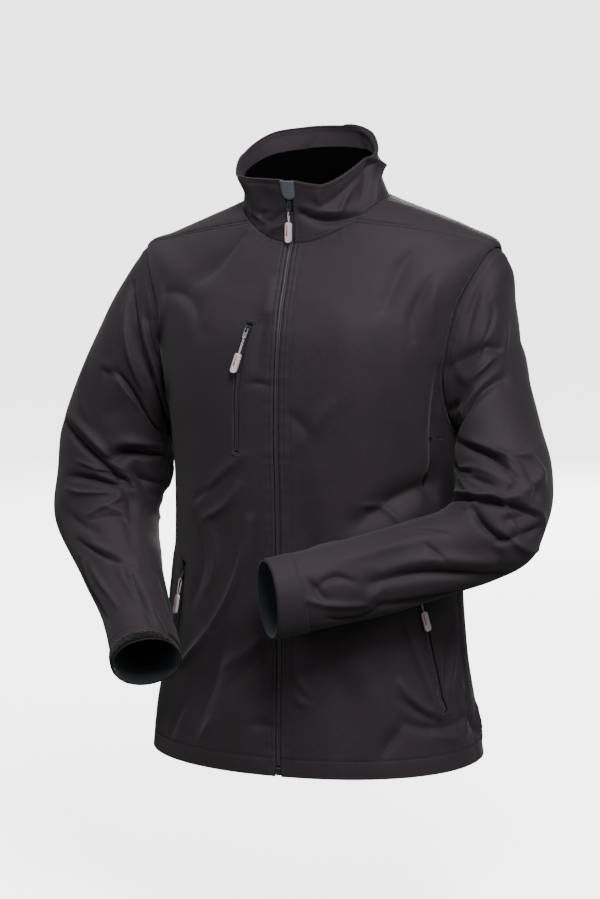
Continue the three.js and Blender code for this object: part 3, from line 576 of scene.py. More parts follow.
def mesh_object(name, verts, faces, materials, face_slots=None, uv=None):
    """A smooth-shaded object from points in millimetres and faces that all have as many corners."""
    mesh = bpy.data.meshes.new(name)
    faces = np.asarray(faces, np.int32)
    count, corners = faces.shape
    mesh.vertices.add(len(verts))
    mesh.vertices.foreach_set("co", (np.asarray(verts, np.float32) * MM).ravel())
    mesh.loops.add(count * corners)
    mesh.loops.foreach_set("vertex_index", faces.ravel())
    mesh.polygons.add(count)
    mesh.polygons.foreach_set("loop_start", np.arange(0, count * corners, corners, dtype=np.int32))
    mesh.polygons.foreach_set("use_smooth", np.ones(count, bool))
    if face_slots is not None:
        mesh.polygons.foreach_set("material_index", np.asarray(face_slots, np.int32))
    mesh.update(calc_edges=True)
    if uv is not None:
        layer = mesh.uv_layers.new(name="cloth")
        layer.data.foreach_set("uv", (np.asarray(uv, np.float32)[faces.ravel()] * MM).ravel())
    mesh.validate()
    for material in materials:
        mesh.materials.append(material)
    thing = bpy.data.objects.new(name, mesh)
    bpy.context.scene.collection.objects.link(thing)
    return thing


def wall(name, grid, normals, thickness, materials, closed=False, facing_rows=0):
    """A closed wall. Face and rim take the first material, the back the second below any facing rows."""
    rows, cols = grid.shape[:2]
    outer, inner = grid.reshape(-1, 3), (grid - thickness * normals).reshape(-1, 3)
    across, up = lengths(grid)
    uv = np.stack([across, up], -1).reshape(-1, 2)
    ids = np.arange(rows * cols).reshape(rows, cols)
    nxt = np.roll(ids, -1, 1) if closed else ids[:, 1:]
    cur = ids if closed else ids[:, :-1]
    quads = np.stack([cur[:-1], nxt[:-1], nxt[1:], cur[1:]], -1).reshape(-1, 4)
    shift = rows * cols
    backs = quads[:, ::-1] + shift
    low = np.stack([nxt[0], cur[0], cur[0] + shift, nxt[0] + shift], -1)
    high = np.stack([cur[-1], nxt[-1], nxt[-1] + shift, cur[-1] + shift], -1)
    rims = [low, high]
    if not closed:
        left, right = ids[:, 0], ids[:, -1]
        rims.append(np.stack([left[:-1], left[1:], left[1:] + shift, left[:-1] + shift], -1))
        rims.append(np.stack([right[1:], right[:-1], right[:-1] + shift, right[1:] + shift], -1))
    faces = np.concatenate([quads, backs, *rims])
    slots = np.zeros(len(faces), int)
    slots[len(quads) : 2 * len(quads)] = len(materials) - 1
    if facing_rows:
        slots[2 * len(quads) - facing_rows * nxt.shape[1] : 2 * len(quads)] = 0
    corner, after, _, above = quads[len(quads) // 2]
    turn = np.cross(outer[after] - outer[corner], outer[above] - outer[corner])
    if turn @ normals.reshape(-1, 3)[corner] < 0:
        faces = faces[:, ::-1]
    verts, both_uv = np.concatenate([outer, inner]), np.concatenate([uv, uv])
    return mesh_object(name, verts, faces, materials, slots, both_uv)


# %% [markdown]
# ## Materials
# A picture of cloth could be wrapped round the pieces, but a picture has one light and one scale baked
# into it. Here each look is built from what the real thing is and how its surface was made. Colours are
# the hex values that a picture of the thing shows, turned into light by one function, and pattern sizes
# are real millimetres.


# %% Nodes
def light(hex_colour):
    """An sRGB hex colour as linear light."""
    parts = [int(hex_colour[i : i + 2], 16) / 255 for i in (1, 3, 5)]
    return (*[p / 12.92 if p <= 0.04045 else ((p + 0.055) / 1.055) ** 2.4 for p in parts], 1)


def new_material(name):
    """An empty material to put nodes in."""
    material = bpy.data.materials.new(name)
    material.use_nodes = True
    material.node_tree.nodes.clear()
    return material


def node(material, kind, settings=(), links=()):
    """Adds one node. settings are its properties or sockets, links are (socket, other node, its output)."""
    tree = material.node_tree
    made = tree.nodes.new(kind)
    for key, value in dict(settings).items():
        if isinstance(key, str) and hasattr(made, key):
            setattr(made, key, value)
        else:
            made.inputs[key].default_value = value
    for socket, other, output in links:
        tree.links.new(other.outputs[output], made.inputs[socket])
    return made


# %% Two kinds of surface: cloth, and metal or plastic
CLOUD_SCALE = 14  # clouds of lighter and darker dye, about 7 cm apart
SLUB_LENGTH, SLUB_WIDTH = 7, 0.9  # thick places in a yarn; real ones are 0.3 mm wide, too fine to show here


def cloth_material(name, colour, worn_colour, roughness, sheen, weave_mm, weave_depth,
                   soft_mm=30, soft_depth=0.7, shine=0.22):
    """A cloth: two close colours in clouds and slubs, a fine weave or pile, and small soft unevenness."""
    m = new_material(name)
    uv = node(m, "ShaderNodeUVMap", {"uv_map": "cloth"})
    place = node(m, "ShaderNodeTexCoord")
    clouds = node(m, "ShaderNodeTexNoise", {"Scale": CLOUD_SCALE, "Detail": 3}, [("Vector", place, "Object")])
    slub_scale = (1 / (SLUB_LENGTH * MM), 1 / (SLUB_WIDTH * MM), 1)
    yarns = node(m, "ShaderNodeMapping", {"Scale": slub_scale}, [("Vector", uv, "UV")])
    slubs = node(m, "ShaderNodeTexNoise", {"Scale": 1.0, "Detail": 1}, [("Vector", yarns, "Vector")])
    both = node(m, "ShaderNodeMath", {"operation": "MULTIPLY_ADD", 1: 0.6},
                [(0, clouds, "Fac"), (2, slubs, "Fac")])
    blend = node(m, "ShaderNodeMapRange", {"From Min": 0.5, "From Max": 1.1}, [("Value", both, "Value")])
    colours = node(m, "ShaderNodeMix", {"data_type": "RGBA", 6: light(colour), 7: light(worn_colour)},
                   [(0, blend, "Result")])
    threads = node(m, "ShaderNodeTexVoronoi", {"Scale": 1 / (weave_mm * MM)}, [("Vector", uv, "UV")])
    fine = node(m, "ShaderNodeBump", {"Strength": 0.6, "Distance": weave_depth * MM},
                [("Height", threads, "Distance")])
    uneven = node(m, "ShaderNodeTexNoise", {"Scale": 1 / (soft_mm * MM), "Detail": 2},
                  [("Vector", place, "Object")])
    soft = node(m, "ShaderNodeBump", {"Strength": 1.0, "Distance": soft_depth * MM},
                [("Height", uneven, "Fac"), ("Normal", fine, "Normal")])
    shader = node(m, "ShaderNodeBsdfPrincipled",
                  {"Roughness": roughness, "Sheen Weight": sheen, "Sheen Roughness": 0.5,
                   "Specular IOR Level": shine},
                  [("Base Color", colours, 2), ("Normal", soft, "Normal")])
    node(m, "ShaderNodeOutputMaterial", (), [("Surface", shader, "BSDF")])
    return m


def plain_material(name, colour, roughness, metallic=0.0, grain_mm=0.4, grain_depth=0.02):
    """A metal or plastic with a slight grain."""
    m = new_material(name)
    place = node(m, "ShaderNodeTexCoord")
    grain = node(m, "ShaderNodeTexNoise", {"Scale": 1 / (grain_mm * MM), "Detail": 2},
                 [("Vector", place, "Object")])
    bump = node(m, "ShaderNodeBump", {"Strength": 0.5, "Distance": grain_depth * MM},
                [("Height", grain, "Fac")])
    shader = node(m, "ShaderNodeBsdfPrincipled",
                  {"Base Color": light(colour), "Roughness": roughness, "Metallic": metallic},
                  [("Normal", bump, "Normal")])
    node(m, "ShaderNodeOutputMaterial", (), [("Surface", shader, "BSDF")])
    return m


# %% Cloths
# Softshell: polyester yarns woven tight and stretchy, dyed charcoal, with a repellent finish. It is
# nearly dull, with a faint shine along the folds. The real yarns are 0.2 mm apart and are drawn 0.5
# mm apart, so that they show.
SHELL = cloth_material("woven_softshell", "#151014", "#1f191e", 0.72, 0.05, 0.5, 0.08)
# Fleece: a knit whose inner face is brushed up and sheared. It is dull and a little paler on its raised tufts. Its
# dark blue-grey is made darker still, as painted shade for the inside of the sleeves.
SHADED_FLEECE = cloth_material("fleece_with_painted_shade", "#121418", "#1f2329", 0.95, 0.1, 1.4, 0.5)
# The body's lining is given a near-black colour, which is painted shade: seen only through the neck, it stands for
# the dark inside of the jacket and gives back almost no light.
PAINTED_SHADE_LINING = cloth_material("painted_shade_lining", "#020203", "#040405", 1.0, 0.0, 1.4, 0.4, shine=0.02)
# Zip tape: a narrow woven ribbon, flatter and smoother than the shell. Its 0.3 mm ribs are drawn 0.6 mm
# apart.
TAPE = cloth_material("zip_tape", "#151215", "#191619", 0.75, 0.03, 0.6, 0.08)
# Coil: nylon thread wound into a spiral and set by heat. Its turns catch small soft lights. They are drawn
# as bumps 1.2 mm apart, which is coarser than the 0.6 mm of real turns that interlock, so that they show.
COIL = cloth_material("zip_coil", "#211d21", "#262226", 0.5, 0.0, 1.2, 0.3)
# Loop pile: a knitted strip whose loops stand up and are fluffed, so it swallows light and its edge is
# ragged. Its loops are drawn 1.6 mm apart, about twice as coarse as real ones, so that they show.
LOOP_PILE = cloth_material("loop_pile", "#070607", "#100e10", 1.0, 0.1, 1.6, 1.6, 3, 1.6, shine=0.05)
# Brushed knit: a soft grey tricot that keeps the zip off the chin. Its nap gives it a pale bloom at a low
# angle.
GUARD_KNIT = cloth_material("brushed_knit", "#343a40", "#40464d", 0.9, 0.2, 0.8, 0.2)

# %% Thread, metals and mouldings
# Thread: spun polyester, two plies twisted, and dull. It is coloured a shade darker than the cloth as painted shade
# for the grooves the stitches sit in, so a row reads as fine dots.
THREAD = plain_material("thread_with_painted_shade", "#080708", 0.8)
# Sliders: zinc, die-cast and plated with black nickel, which gives a dark mirror softened by the
# casting's skin.
METAL = plain_material("dark_nickel", "#3c3c41", 0.35, 0.9)
# Pull tabs: stamped and plated with bright nickel, so they flash paler than the sliders.
TAB_METAL = plain_material("nickel_tab", "#8b8e94", 0.3, 0.9)
# Cord: polyester strands braided round a core. The strands make it dull, with a grain drawn at 0.8 mm.
CORD_BRAID = plain_material("braided_cord", "#8f8b8e", 0.8, 0.0, 0.8, 0.15)
# Grips: soft plastic moulded over the cord's ends in a spark-eroded mould, which leaves a fine satin
# grain.
GRIP_RUBBER = plain_material("moulded_grip", "#9a9496", 0.5)
# Inlays: a second, red shot of the same plastic, with the same satin.
GRIP_MARK = plain_material("red_inlay", "#8d5154", 0.5)
print("materials:", sorted(m.name for m in bpy.data.materials))

# %% [markdown]
# ## Sewing marks
# A seam draws the cloth in along its line, and a topstitched row presses it down a few millimetres beside
# it. Both could be painted on, but low light shows them best as form, so they are small dips in the
# panel. The thread itself is a row of short capsules, made at the end from the lines that are remembered
# here.


# %% Dips and puckers
def dip(distance, depth, width):
    """A soft groove at distance 0, in millimetres."""
    return -depth * np.exp(-((distance / width) ** 2))


def puckers(distance, along, seed, depth=0.7, reach=9.0, spacing=13.0):
    """Short uneven wrinkles that sewing leaves across itself, along a seam at distance 0."""
    random = np.random.default_rng(seed)
    change = np.zeros(along.shape)
    for place in np.arange(0, along.max(), spacing):
        place = place + random.uniform(-0.45, 0.45) * spacing
        size, width = random.uniform(0.1, 1.0) * depth, random.uniform(2.8, 4.6)
        change += size * np.exp(-(((along - place) / width) ** 2))
    return change * np.exp(-(((distance - 5) / reach) ** 2))


TOPSTITCH = 6.0  # how far a row of stitches runs beside a seam
HEM_PUCKER_LINE, HEM_PUCKER_SEED = 20, 5


def seamed(grid, flip, lines=()):
    """Presses a grid in along its edges and along lines up or across it. Returns the grid and its normals."""
    normals = grid_normals(grid, flip=flip)
    across, up = lengths(grid)
    change = np.zeros(grid.shape[:2])
    for seed, distance in enumerate((across, across[:, -1:] - across, up[-1:] - up)):
        # the seam, the row of stitches beside it, and the ridge between the two
        ridge = dip(distance - 3.3, 0.3, 1.4)
        change += dip(distance, 1.0, 1.6) + dip(distance - TOPSTITCH, 0.6, 1.0) - ridge
        change += puckers(distance, up if seed < 2 else across, seed)
    change += puckers(up - HEM_PUCKER_LINE, across, HEM_PUCKER_SEED, depth=0.6, reach=7.0, spacing=19.0)
    for kind, place, depth, width in lines:
        distance = (across if kind == "column" else up) - place
        change += dip(distance, depth, width)
    grid = grid + change[..., None] * normals
    return grid, grid_normals(grid, flip=flip)


# %% Lines of stitches
STITCH, STITCH_GAP, THREAD_RADIUS = 2.5, 0.7, 0.34
stitches = []


def stitch_along(line, normals):
    """Remembers the stitches along a line of points."""
    steps = np.linalg.norm(np.diff(line, axis=0), axis=1)
    length = np.concatenate([[0], np.cumsum(steps)])
    count = int(length[-1] // (STITCH + STITCH_GAP))
    if count < 1:
        return
    starts = np.arange(count) * (STITCH + STITCH_GAP)

    def sample(at, values):
        return np.stack([np.interp(at, length, values[:, k]) for k in range(3)], -1)

    out = unit(sample(starts + STITCH / 2, normals))
    first, last = sample(starts, line), sample(starts + STITCH, line)
    stitches.append(np.stack([first, last, out], 1))


def line_up(grid, normals, distance, side="left"):
    """The line that runs up a grid at a distance from its left or right edge."""
    places, out = [], []
    for row, row_normals, across in zip(grid, normals, lengths(grid)[0]):
        at = distance if side == "left" else across[-1] - distance
        places.append([np.interp(at, across, row[:, k]) for k in range(3)])
        out.append([np.interp(at, across, row_normals[:, k]) for k in range(3)])
    return np.array(places), np.array(out)


def line_across(grid, normals, distance, side="low"):
    """The line that runs across a grid at a distance from its first or last row."""
    turned, turned_normals = grid.transpose(1, 0, 2), normals.transpose(1, 0, 2)
    return line_up(turned, turned_normals, distance, "left" if side == "low" else "right")


print("a stitch is", STITCH, "mm long and its thread", 2 * THREAD_RADIUS, "mm thick")

# %% [markdown]
# ## The two fronts and the back
# The trunk of a jacket is three cut pieces. It could be one mesh with its seams drawn on, but pieces of
# their own have real edges, and each can be simulated as the cloth it is. The hem is turned up by 22 mm
# and sewn twice. The left front has two rows of stitches beside the zip and the right front one.

# %% Panels
# what is pressed in: a row or a column, its distance from the edge, its depth and its width, in
# millimetres
HEM_LINE = [("row", 23, 0.6, 1.1)]
pieces = {}


def panel(name, angles, ups, flip=False, lines=()):
    """Makes one piece of the trunk and keeps it in the list of pieces."""
    grid = body(angles, ups)
    grid, normals = seamed(grid, flip, lines=[*HEM_LINE, *lines])
    # the back takes the near-black lining, painted shade for the inside of the body
    pieces[name] = wall(name, grid, normals, CLOTH, [SHELL, PAINTED_SHADE_LINING])
    return grid, normals


FRONT_COLUMNS = columns(300, 3.2)
LEFT_ROWS = [("column", 12.0, 0.6, 0.9), ("column", 15.0, 0.6, 0.9)]
RIGHT_ROWS = [("column", 4.4, 0.4, 0.8)]
left_front = panel("left_front_cloth", *front_places(1, FRONT_COLUMNS), lines=LEFT_ROWS)
right_front = panel("right_front_cloth", *front_places(-1, FRONT_COLUMNS), flip=True, lines=RIGHT_ROWS)
back_panel = panel("back_cloth", *back_places(columns(600)))

# %% Their topstitching
for panel_grid in (left_front, right_front, back_panel):
    stitch_along(*line_across(*panel_grid, 22.5))
    stitch_along(*line_across(*panel_grid, 24.0))
    stitch_along(*line_up(*panel_grid, TOPSTITCH))
    stitch_along(*line_up(*panel_grid, TOPSTITCH, "right"))
for front, rows in ((left_front, LEFT_ROWS), (right_front, RIGHT_ROWS)):
    for _, distance, _, _ in rows:
        stitch_along(*line_up(*front, distance))
print("fronts and back:", [len(p.data.polygons) for p in pieces.values()], "faces")

# %% [markdown]
# ## The sleeves
# A sleeve is easiest to say by two lines, one down its outer side past the elbow and one down its inner
# side past the crook, because those are the two edges that a picture shows. Rings join them. At the top
# the ring takes the armhole's own shape, so the cloth flows out of the body as a set-in sleeve does. A
# tube along one bent middle line would be simpler, but it pinches in the crook of the elbow.

# %% Two lines down each sleeve
LEFT_SLEEVE = """
along out_x out_y out_z in_x in_y in_z depth
0    240   -6  -57 192    4 -290 74
32   255   -8  -84 199    2 -291 72
70   257  -11 -120 204   -2 -298 70
110  261  -15 -158 206   -9 -309 68
160  270  -24 -206 205  -19 -323 66
215  289  -35 -258 204  -31 -338 64
270  314  -46 -309 203  -48 -350 63
320  324  -55 -358 205  -72 -357 62
370  315  -60 -401 206  -96 -363 59
415  296  -66 -435 198 -116 -370 54
460  259  -84 -455 180 -134 -376 48
515  208 -116 -472 148 -153 -385 44
575  150 -154 -490 108 -176 -396 42
640   90 -193 -502  64 -202 -407 42
712   26 -230 -514  16 -226 -419 42
"""

RIGHT_SLEEVE = """
along out_x out_y out_z in_x in_y in_z depth
0    -233   -6  -63 -192    4 -290 74
32   -250   -6  -85 -199    3 -291 72
70   -269   -6 -117 -204    2 -299 70
120  -291   -6 -160 -207    0 -314 68
175  -316   -6 -208 -209   -4 -334 66
235  -340   -4 -262 -211  -10 -354 64
290  -357    0 -314 -210  -20 -372 63
345  -359    4 -368 -217  -38 -388 62
400  -359    6 -420 -221  -60 -402 61
445  -345   -1 -456 -215  -84 -416 58
490  -313  -34 -482 -201 -108 -436 54
545  -272  -89 -507 -179 -134 -468 50
605  -231 -149 -537 -150 -158 -506 47
675  -196 -214 -577 -118 -186 -551 45
"""


print("sleeves' outer sides:", [rows_of(t)[-1]["along"] for t in (LEFT_SLEEVE, RIGHT_SLEEVE)], "mm")

# %% From two lines to a tube
FORWARD = np.array([0, -1, 0])


def sleeve_form(table, hand, slant):
    """A sleeve as a function of the turn round it and the distance down it. The cuff may be cut aslant."""
    at = reader(table)
    end = rows_of(table)[-1]["along"]

    def ends(s):
        outer = points(s["out_x"], s["out_y"], s["out_z"])
        inner = points(s["in_x"], s["in_y"], s["in_z"])
        return outer, inner

    def ring(turn, along):
        s = at(along)
        outer, inner = ends(s)
        chord, middle = (outer - inner) / 2, (outer + inner) / 2
        ahead = sum(ends(at(along + 4))) / 2 - sum(ends(at(along - 4))) / 2
        across = hand * unit(np.cross(ahead, chord))
        square = smooth_step(along, 60, 260)[..., None]
        fore = FORWARD * (1 - square) + across * square
        flat = unit(chord)
        fore = unit(fore - (fore * flat).sum(-1, keepdims=True) * flat) * s["depth"][..., None]
        side = signed_power(np.cos(np.radians(turn)), 0.94)[..., None]
        front = signed_power(np.sin(np.radians(turn)), 0.94)[..., None]
        near_end = smooth_step(along, end - 70, end)[..., None]
        return middle + chord * side + fore * front - unit(ahead) * near_end * slant * (front - 0.3)

    def seam(turn):
        angle, up = armhole(turn, SEAM_GAP)
        return body(angle if hand > 0 else 180 - angle, up)

    def smooth(turn, along):
        turn, along = np.broadcast_arrays(np.asarray(turn, float), np.asarray(along, float))
        felt = (1 - smooth_step(along, 0, 130)) ** 1.5
        return ring(turn, along) + felt[..., None] * (seam(turn) - ring(turn, 0 * along))

    return smooth


left_sleeve = creased(sleeve_form(LEFT_SLEEVE, 1, 8), LEFT_CREASES, SLEEVE_MM_PER_DEGREE, 1)
right_sleeve = creased(sleeve_form(RIGHT_SLEEVE, -1, 0), RIGHT_CREASES, SLEEVE_MM_PER_DEGREE, -1)

# %% Their cloth
RING = np.linspace(0, 360, 129)[:-1]
SLEEVE_HEM = 22


def sleeve_rows(length):
    """Distances down a sleeve, close together at the armhole and at the cuff, where the sewing is."""
    edge = np.array([0, 0.7, 1.6, 2.8, 4.4, 5.4, 6, 6.6, 7.8, 10, 13])
    hem = length - np.array([26, 23, 22.3, 21.7, 21, 18, 14, 10, 6, 3, 1.2, 0.4, 0])
    return np.concatenate([edge, np.linspace(13, length - 26, int((length - 39) / 3.2))[1:-1], hem])


def sleeve(name, surface, table, hand):
    """Makes one sleeve, sewn in at the armhole, hemmed at the cuff and closed by a seam under the arm."""
    length = rows_of(table)[-1]["along"]
    turns, along = np.meshgrid(RING, sleeve_rows(length))
    grid = surface(turns, along)
    normals = grid_normals(grid, True, hand < 0)
    _, down = lengths(grid)
    # the seam at the armhole, the stitches beside it, and a little fullness below them
    change = dip(down, 1.8, 2.6) + dip(down - TOPSTITCH, 0.5, 1.1) - dip(down - 11, 0.8, 4.0)
    change = change + dip(length - SLEEVE_HEM - along, 0.5, 0.9)
    girth = np.linalg.norm(np.roll(grid, -1, 1) - grid, axis=-1)
    gone = np.cumsum(girth, 1) - girth
    under = RING.searchsorted(180)
    from_under = gone - gone[:, under : under + 1]
    change = change + dip(from_under, 0.7, 1.6) + puckers(down, gone, 11, depth=0.8, reach=10.0, spacing=15.0)
    grid = grid + change[..., None] * normals
    normals = grid_normals(grid, True, hand < 0)
    angle, up = armhole(RING, SEAM_GAP)
    # The first rows turn as the body's cloth does, so that light runs over the seam without a step.
    meet = outward(body, angle if hand > 0 else 180 - angle, up)
    for row, share in ((0, 1.0), (1, 0.7), (2, 0.45), (3, 0.2)):
        normals[row] = unit(meet * share + normals[row] * (1 - share))
    # the inside takes the fleece, whose colour is darkened as painted shade inside the sleeve
    pieces[name] = wall(name, grid, normals, CLOTH, [SHELL, SHADED_FLEECE], closed=True)
    return grid, normals


def round_line(grid, normals, distance, from_end=False):
    """A closed line round a sleeve at a distance from its first or last row."""
    turned, out = line_across(grid, normals, distance, "high" if from_end else "low")
    return np.concatenate([turned, turned[:1]]), np.concatenate([out, out[:1]])


left_arm = sleeve("left_sleeve_cloth", left_sleeve, LEFT_SLEEVE, 1)
right_arm = sleeve("right_sleeve_cloth", right_sleeve, RIGHT_SLEEVE, -1)
for arm in (left_arm, right_arm):
    stitch_along(*round_line(*arm, TOPSTITCH))
    stitch_along(*round_line(*arm, SLEEVE_HEM, True))
print("sleeves:", [len(piece.data.polygons) for name, piece in pieces.items() if "sleeve" in name], "faces")

# %% [markdown]
# ## The collar
# A stand collar is one curved band between the neck seam and its rim. It could be a straight tube, but a
# real one leans back from the throat and bellies a little, so it is drawn between two loops that differ.
# Its top inside is faced with the shell cloth.

# %% The collar's form
NECK_MIDDLE, BELLY = np.array([0, -18, 0]), 5


def smooth_collar(angle, height):
    """The collar as a function of the angle round the neck and the height above the neck seam."""
    angle, height = np.broadcast_arrays(np.asarray(angle, float), np.asarray(height, float))
    seam = smooth_body(np.where(angle > 180, angle - 360, angle), np.full(angle.shape, float(NECK_UP)))
    rim = rim_at(np.where(angle < FRONT, angle + 360, angle))
    t = (height / COLLAR_HEIGHT)[..., None]
    point = seam * (1 - t) + points(rim["x"], rim["y"], rim["z"]) * t
    away = point - NECK_MIDDLE
    away[..., 2] = 0
    return point - BELLY * np.sin(np.pi * np.clip(t, 0, 1)) * unit(away)


collar_surface = creased(smooth_collar, COLLAR_CREASES, COLLAR_MM_PER_DEGREE)
neck_half = float(body_at(float(NECK_UP))["half"])
neck_middle = float(beside_front(0.0, float(NECK_UP)))
THROAT = 1.2  # a distance at the throat takes up this much more angle than on a circle
neck_edge = math.degrees(SLOT / neck_half) * THROAT
print("the neck seam's loop is", round(2 * neck_half), "mm wide")

# %% The collar's cloth
BASE_ROWS = [-1.2, 0.2, 1.8, 3.4, 5, 6, 7, 9]  # the lowest row is tucked behind the panels, to leave no gap
RIM_ROWS = [69, 71, 72, 73, 75, 76.6, 77.5, COLLAR_HEIGHT]
collar_angles = neck_middle + neck_edge + (360 - 2 * neck_edge) * columns(480, 2.6)
collar_heights = np.concatenate([BASE_ROWS, np.linspace(12, 66, 22), RIM_ROWS])
grid = collar_surface(*np.meshgrid(collar_angles, collar_heights))
normals = grid_normals(grid)
across, up = lengths(grid)
below_rim = up[-1:] - up
edges = dip(across - TOPSTITCH, 0.35, 1.0) + dip(across[:, -1:] - across - TOPSTITCH, 0.35, 1.0)
seams = dip(up, 0.9, 1.6) + dip(below_rim, 0.8, 1.2)
seams = seams + dip(below_rim - TOPSTITCH, 0.4, 1.0) + dip(up - 5.5, 0.35, 1.0)
grid = grid + (edges + seams)[..., None] * normals
collar_grid = (grid, grid_normals(grid))
FACING_ROWS = 14  # how many rows of its inside, from the rim down, are faced with the shell cloth
# below the facing, the inside takes the near-black lining, painted shade for the dark inside of the neck
collar_cloths = [SHELL, PAINTED_SHADE_LINING]
pieces["collar_cloth"] = wall("collar_cloth", *collar_grid, CLOTH, collar_cloths, facing_rows=FACING_ROWS)
stitch_along(*line_up(*collar_grid, TOPSTITCH))
stitch_along(*line_up(*collar_grid, TOPSTITCH, "right"))
stitch_along(*line_across(*collar_grid, TOPSTITCH, "high"))
stitch_along(*line_across(*collar_grid, 5.5))
print("collar rim, around:", round(float(lengths(grid)[0][-1, -1])), "mm")

# %% [markdown]
# ## The zips
# The tapes lie behind the edges of the fronts and the pockets' windows. A closed coil zip shows as two
# rows of fine slanting turns with a groove between them. This is a reversed coil, so its smooth backs
# face out and only low ribs show. Real turns could be bent one by one, but they are 0.6 mm thick and
# would cost hundreds of thousands of faces. The coil is a narrow strip with a groove down it, and small bumps in its
# material stand for the turns.

# %% Where the zips are
POCKETS = """
pocket low_angle low_up top_angle top_up depth side
chest_pocket      -104.3 402 -100.5 612 2.9 -1
hand_pocket_right -143   104 -139   250 3.5 -1
hand_pocket_left  -20     72 -31.5  244 3.5  1
"""
pockets = []
for row in named_rows(POCKETS):
    name = row.pop("pocket")
    pockets.append({"name": name, **{key: float(value) for key, value in row.items()}})
WINDOW_HALF, ZIP_HALF, ZIP_THICK, ZIP_DEPTH, POCKET_ZIP_HALF = 4.4, 11, 1.2, 3.1, 9


def centre_front(distance, height):
    """Places beside the front zip, on the body up to the neck seam and on the collar above it."""
    distance, height = np.broadcast_arrays(np.asarray(distance, float), np.asarray(height, float))
    low = body(beside_front(distance, np.minimum(height, NECK_UP)), np.minimum(height, NECK_UP))
    angle = neck_middle + np.degrees(distance / neck_half) * THROAT
    high = collar_surface(angle, np.maximum(height - NECK_UP, 0))
    return np.where((height <= NECK_UP)[..., None], low, high)


def beside_window(pocket, distance, along):
    """The angle and height of a place beside a pocket's line, whose length counts from 0 to 1."""
    angle = pocket["low_angle"] + (pocket["top_angle"] - pocket["low_angle"]) * along
    up = pocket["low_up"] + (pocket["top_up"] - pocket["low_up"]) * along
    per_degree = np.linalg.norm(smooth_body(angle + 0.5, up) - smooth_body(angle - 0.5, up), axis=-1)
    run = (pocket["top_angle"] - pocket["low_angle"]) * per_degree
    rise = pocket["top_up"] - pocket["low_up"]
    length = np.hypot(run, rise)
    return angle + distance * rise / length / per_degree, up - distance * run / length


print("pockets:", [pocket["name"] for pocket in pockets])


# %% Tapes and coils
def tape(name, grid, lift):
    """A zip's tape as a closed strip."""
    normals = grid_normals(grid)
    pieces[name] = wall(name, grid + lift * normals, normals, ZIP_THICK, [TAPE])


def coil(name, place, rows, lift, half):
    """The coil: a band that stands up between the edges, with a groove down its centre."""
    distances = half * np.array([-1, -0.98, -0.9, -0.6, -0.22, -0.12, 0, 0.12, 0.22, 0.6, 0.9, 0.98, 1])
    profile = np.array([-0.7, -0.2, 0, 0.05, 0, -0.25, -0.35, -0.25, 0, 0.05, 0, -0.2, -0.7])
    grid = place(*np.meshgrid(distances, rows))
    grid = grid + (lift + profile)[None, :, None] * grid_normals(grid)
    pieces[name] = wall(name, grid, grid_normals(grid), 0.9, [COIL])


# %% The front zip
on_collar = NECK_UP + np.linspace(3, COLLAR_HEIGHT - 5, 20)
zip_heights = np.concatenate([np.linspace(2, NECK_UP - 3, 200), on_collar])
zip_across = [-ZIP_HALF, -8, -5, -3, 0, 3, 5, 8, ZIP_HALF]
tape("main_zip_tape", centre_front(*np.meshgrid(zip_across, zip_heights)), -ZIP_DEPTH)
slider_top = NECK_UP + COLLAR_HEIGHT - 31
coil("main_zip_coil", centre_front, np.linspace(12, slider_top - 9, 260), -0.9, 2.7)
box_rows, box_across = [1.5, 2.5, 6, 10, 11], [-3.0, -2.6, -0.4, 0, 0.4, 2.6, 3.0]
box_grid = centre_front(*np.meshgrid(box_across, box_rows))
pieces["main_zip_box"] = wall("main_zip_box", box_grid, grid_normals(box_grid), 2.2, [METAL])
print("the front zip's coil is", round(slider_top - 9 - 12), "mm long")

# %% The pockets' zips
POCKET_SLIDER = 21  # the coil ends this far below the window's top, under the slider
for pocket in pockets:
    across = [-POCKET_ZIP_HALF, -6, -4, -2, 0, 2, 4, 6, POCKET_ZIP_HALF]

    def on_body(distance, along, pocket=pocket):
        return body(*beside_window(pocket, distance, along))

    along = np.linspace(-0.04, 1.04, 70)
    tape(f"{pocket['name']}_tape", on_body(*np.meshgrid(across, along)), -pocket["depth"])
    length = pocket["top_up"] - pocket["low_up"]
    coil(f"{pocket['name']}_coil", on_body, np.linspace(0.004, 1 - POCKET_SLIDER / length, 60), -1.2, 3.0)
print("zips made:", [name for name in pieces if "zip" in name or "pocket" in name])

# %% [markdown]
# ## The pockets' windows
# A zipped pocket of this kind is a narrow window cut through the front, its edge turned in and stitched
# round. The window is cut with a solid shape of the same outline, because the grid's own lines don't
# follow it. Then two rows of stitches go round it and a bar tack closes each end.

# %% Shapes of a window
def window_outline(pocket, grow, step=3.0):
    """Points round a window, grown by a distance."""
    length = pocket["top_up"] - pocket["low_up"]
    ends = grow / length
    rows = np.linspace(-ends, 1 + ends, int((1 + 2 * ends) * length / step))
    side = WINDOW_HALF + grow
    across = np.linspace(-side, side, max(int(2 * side / step), 4))
    right = [(side, r) for r in rows]
    top = [(a, 1 + ends) for a in across[::-1][1:]]
    left = [(-side, r) for r in rows[::-1][1:]]
    bottom = [(a, -ends) for a in across[1:]]
    distance, along = np.array(right + top + left + bottom).T
    return beside_window(pocket, distance, along)


def cutter(pocket, reach=5):
    """A solid that stands out on both sides of the cloth where the window goes."""
    across, along = np.meshgrid([-WINDOW_HALF, 0, WINDOW_HALF], np.linspace(0, 1, 40))
    grid = body(*beside_window(pocket, across, along))
    normals = grid_normals(grid)
    return wall(f"{pocket['name']}_cutter", grid + reach * normals, normals, 2 * reach, [SHELL])


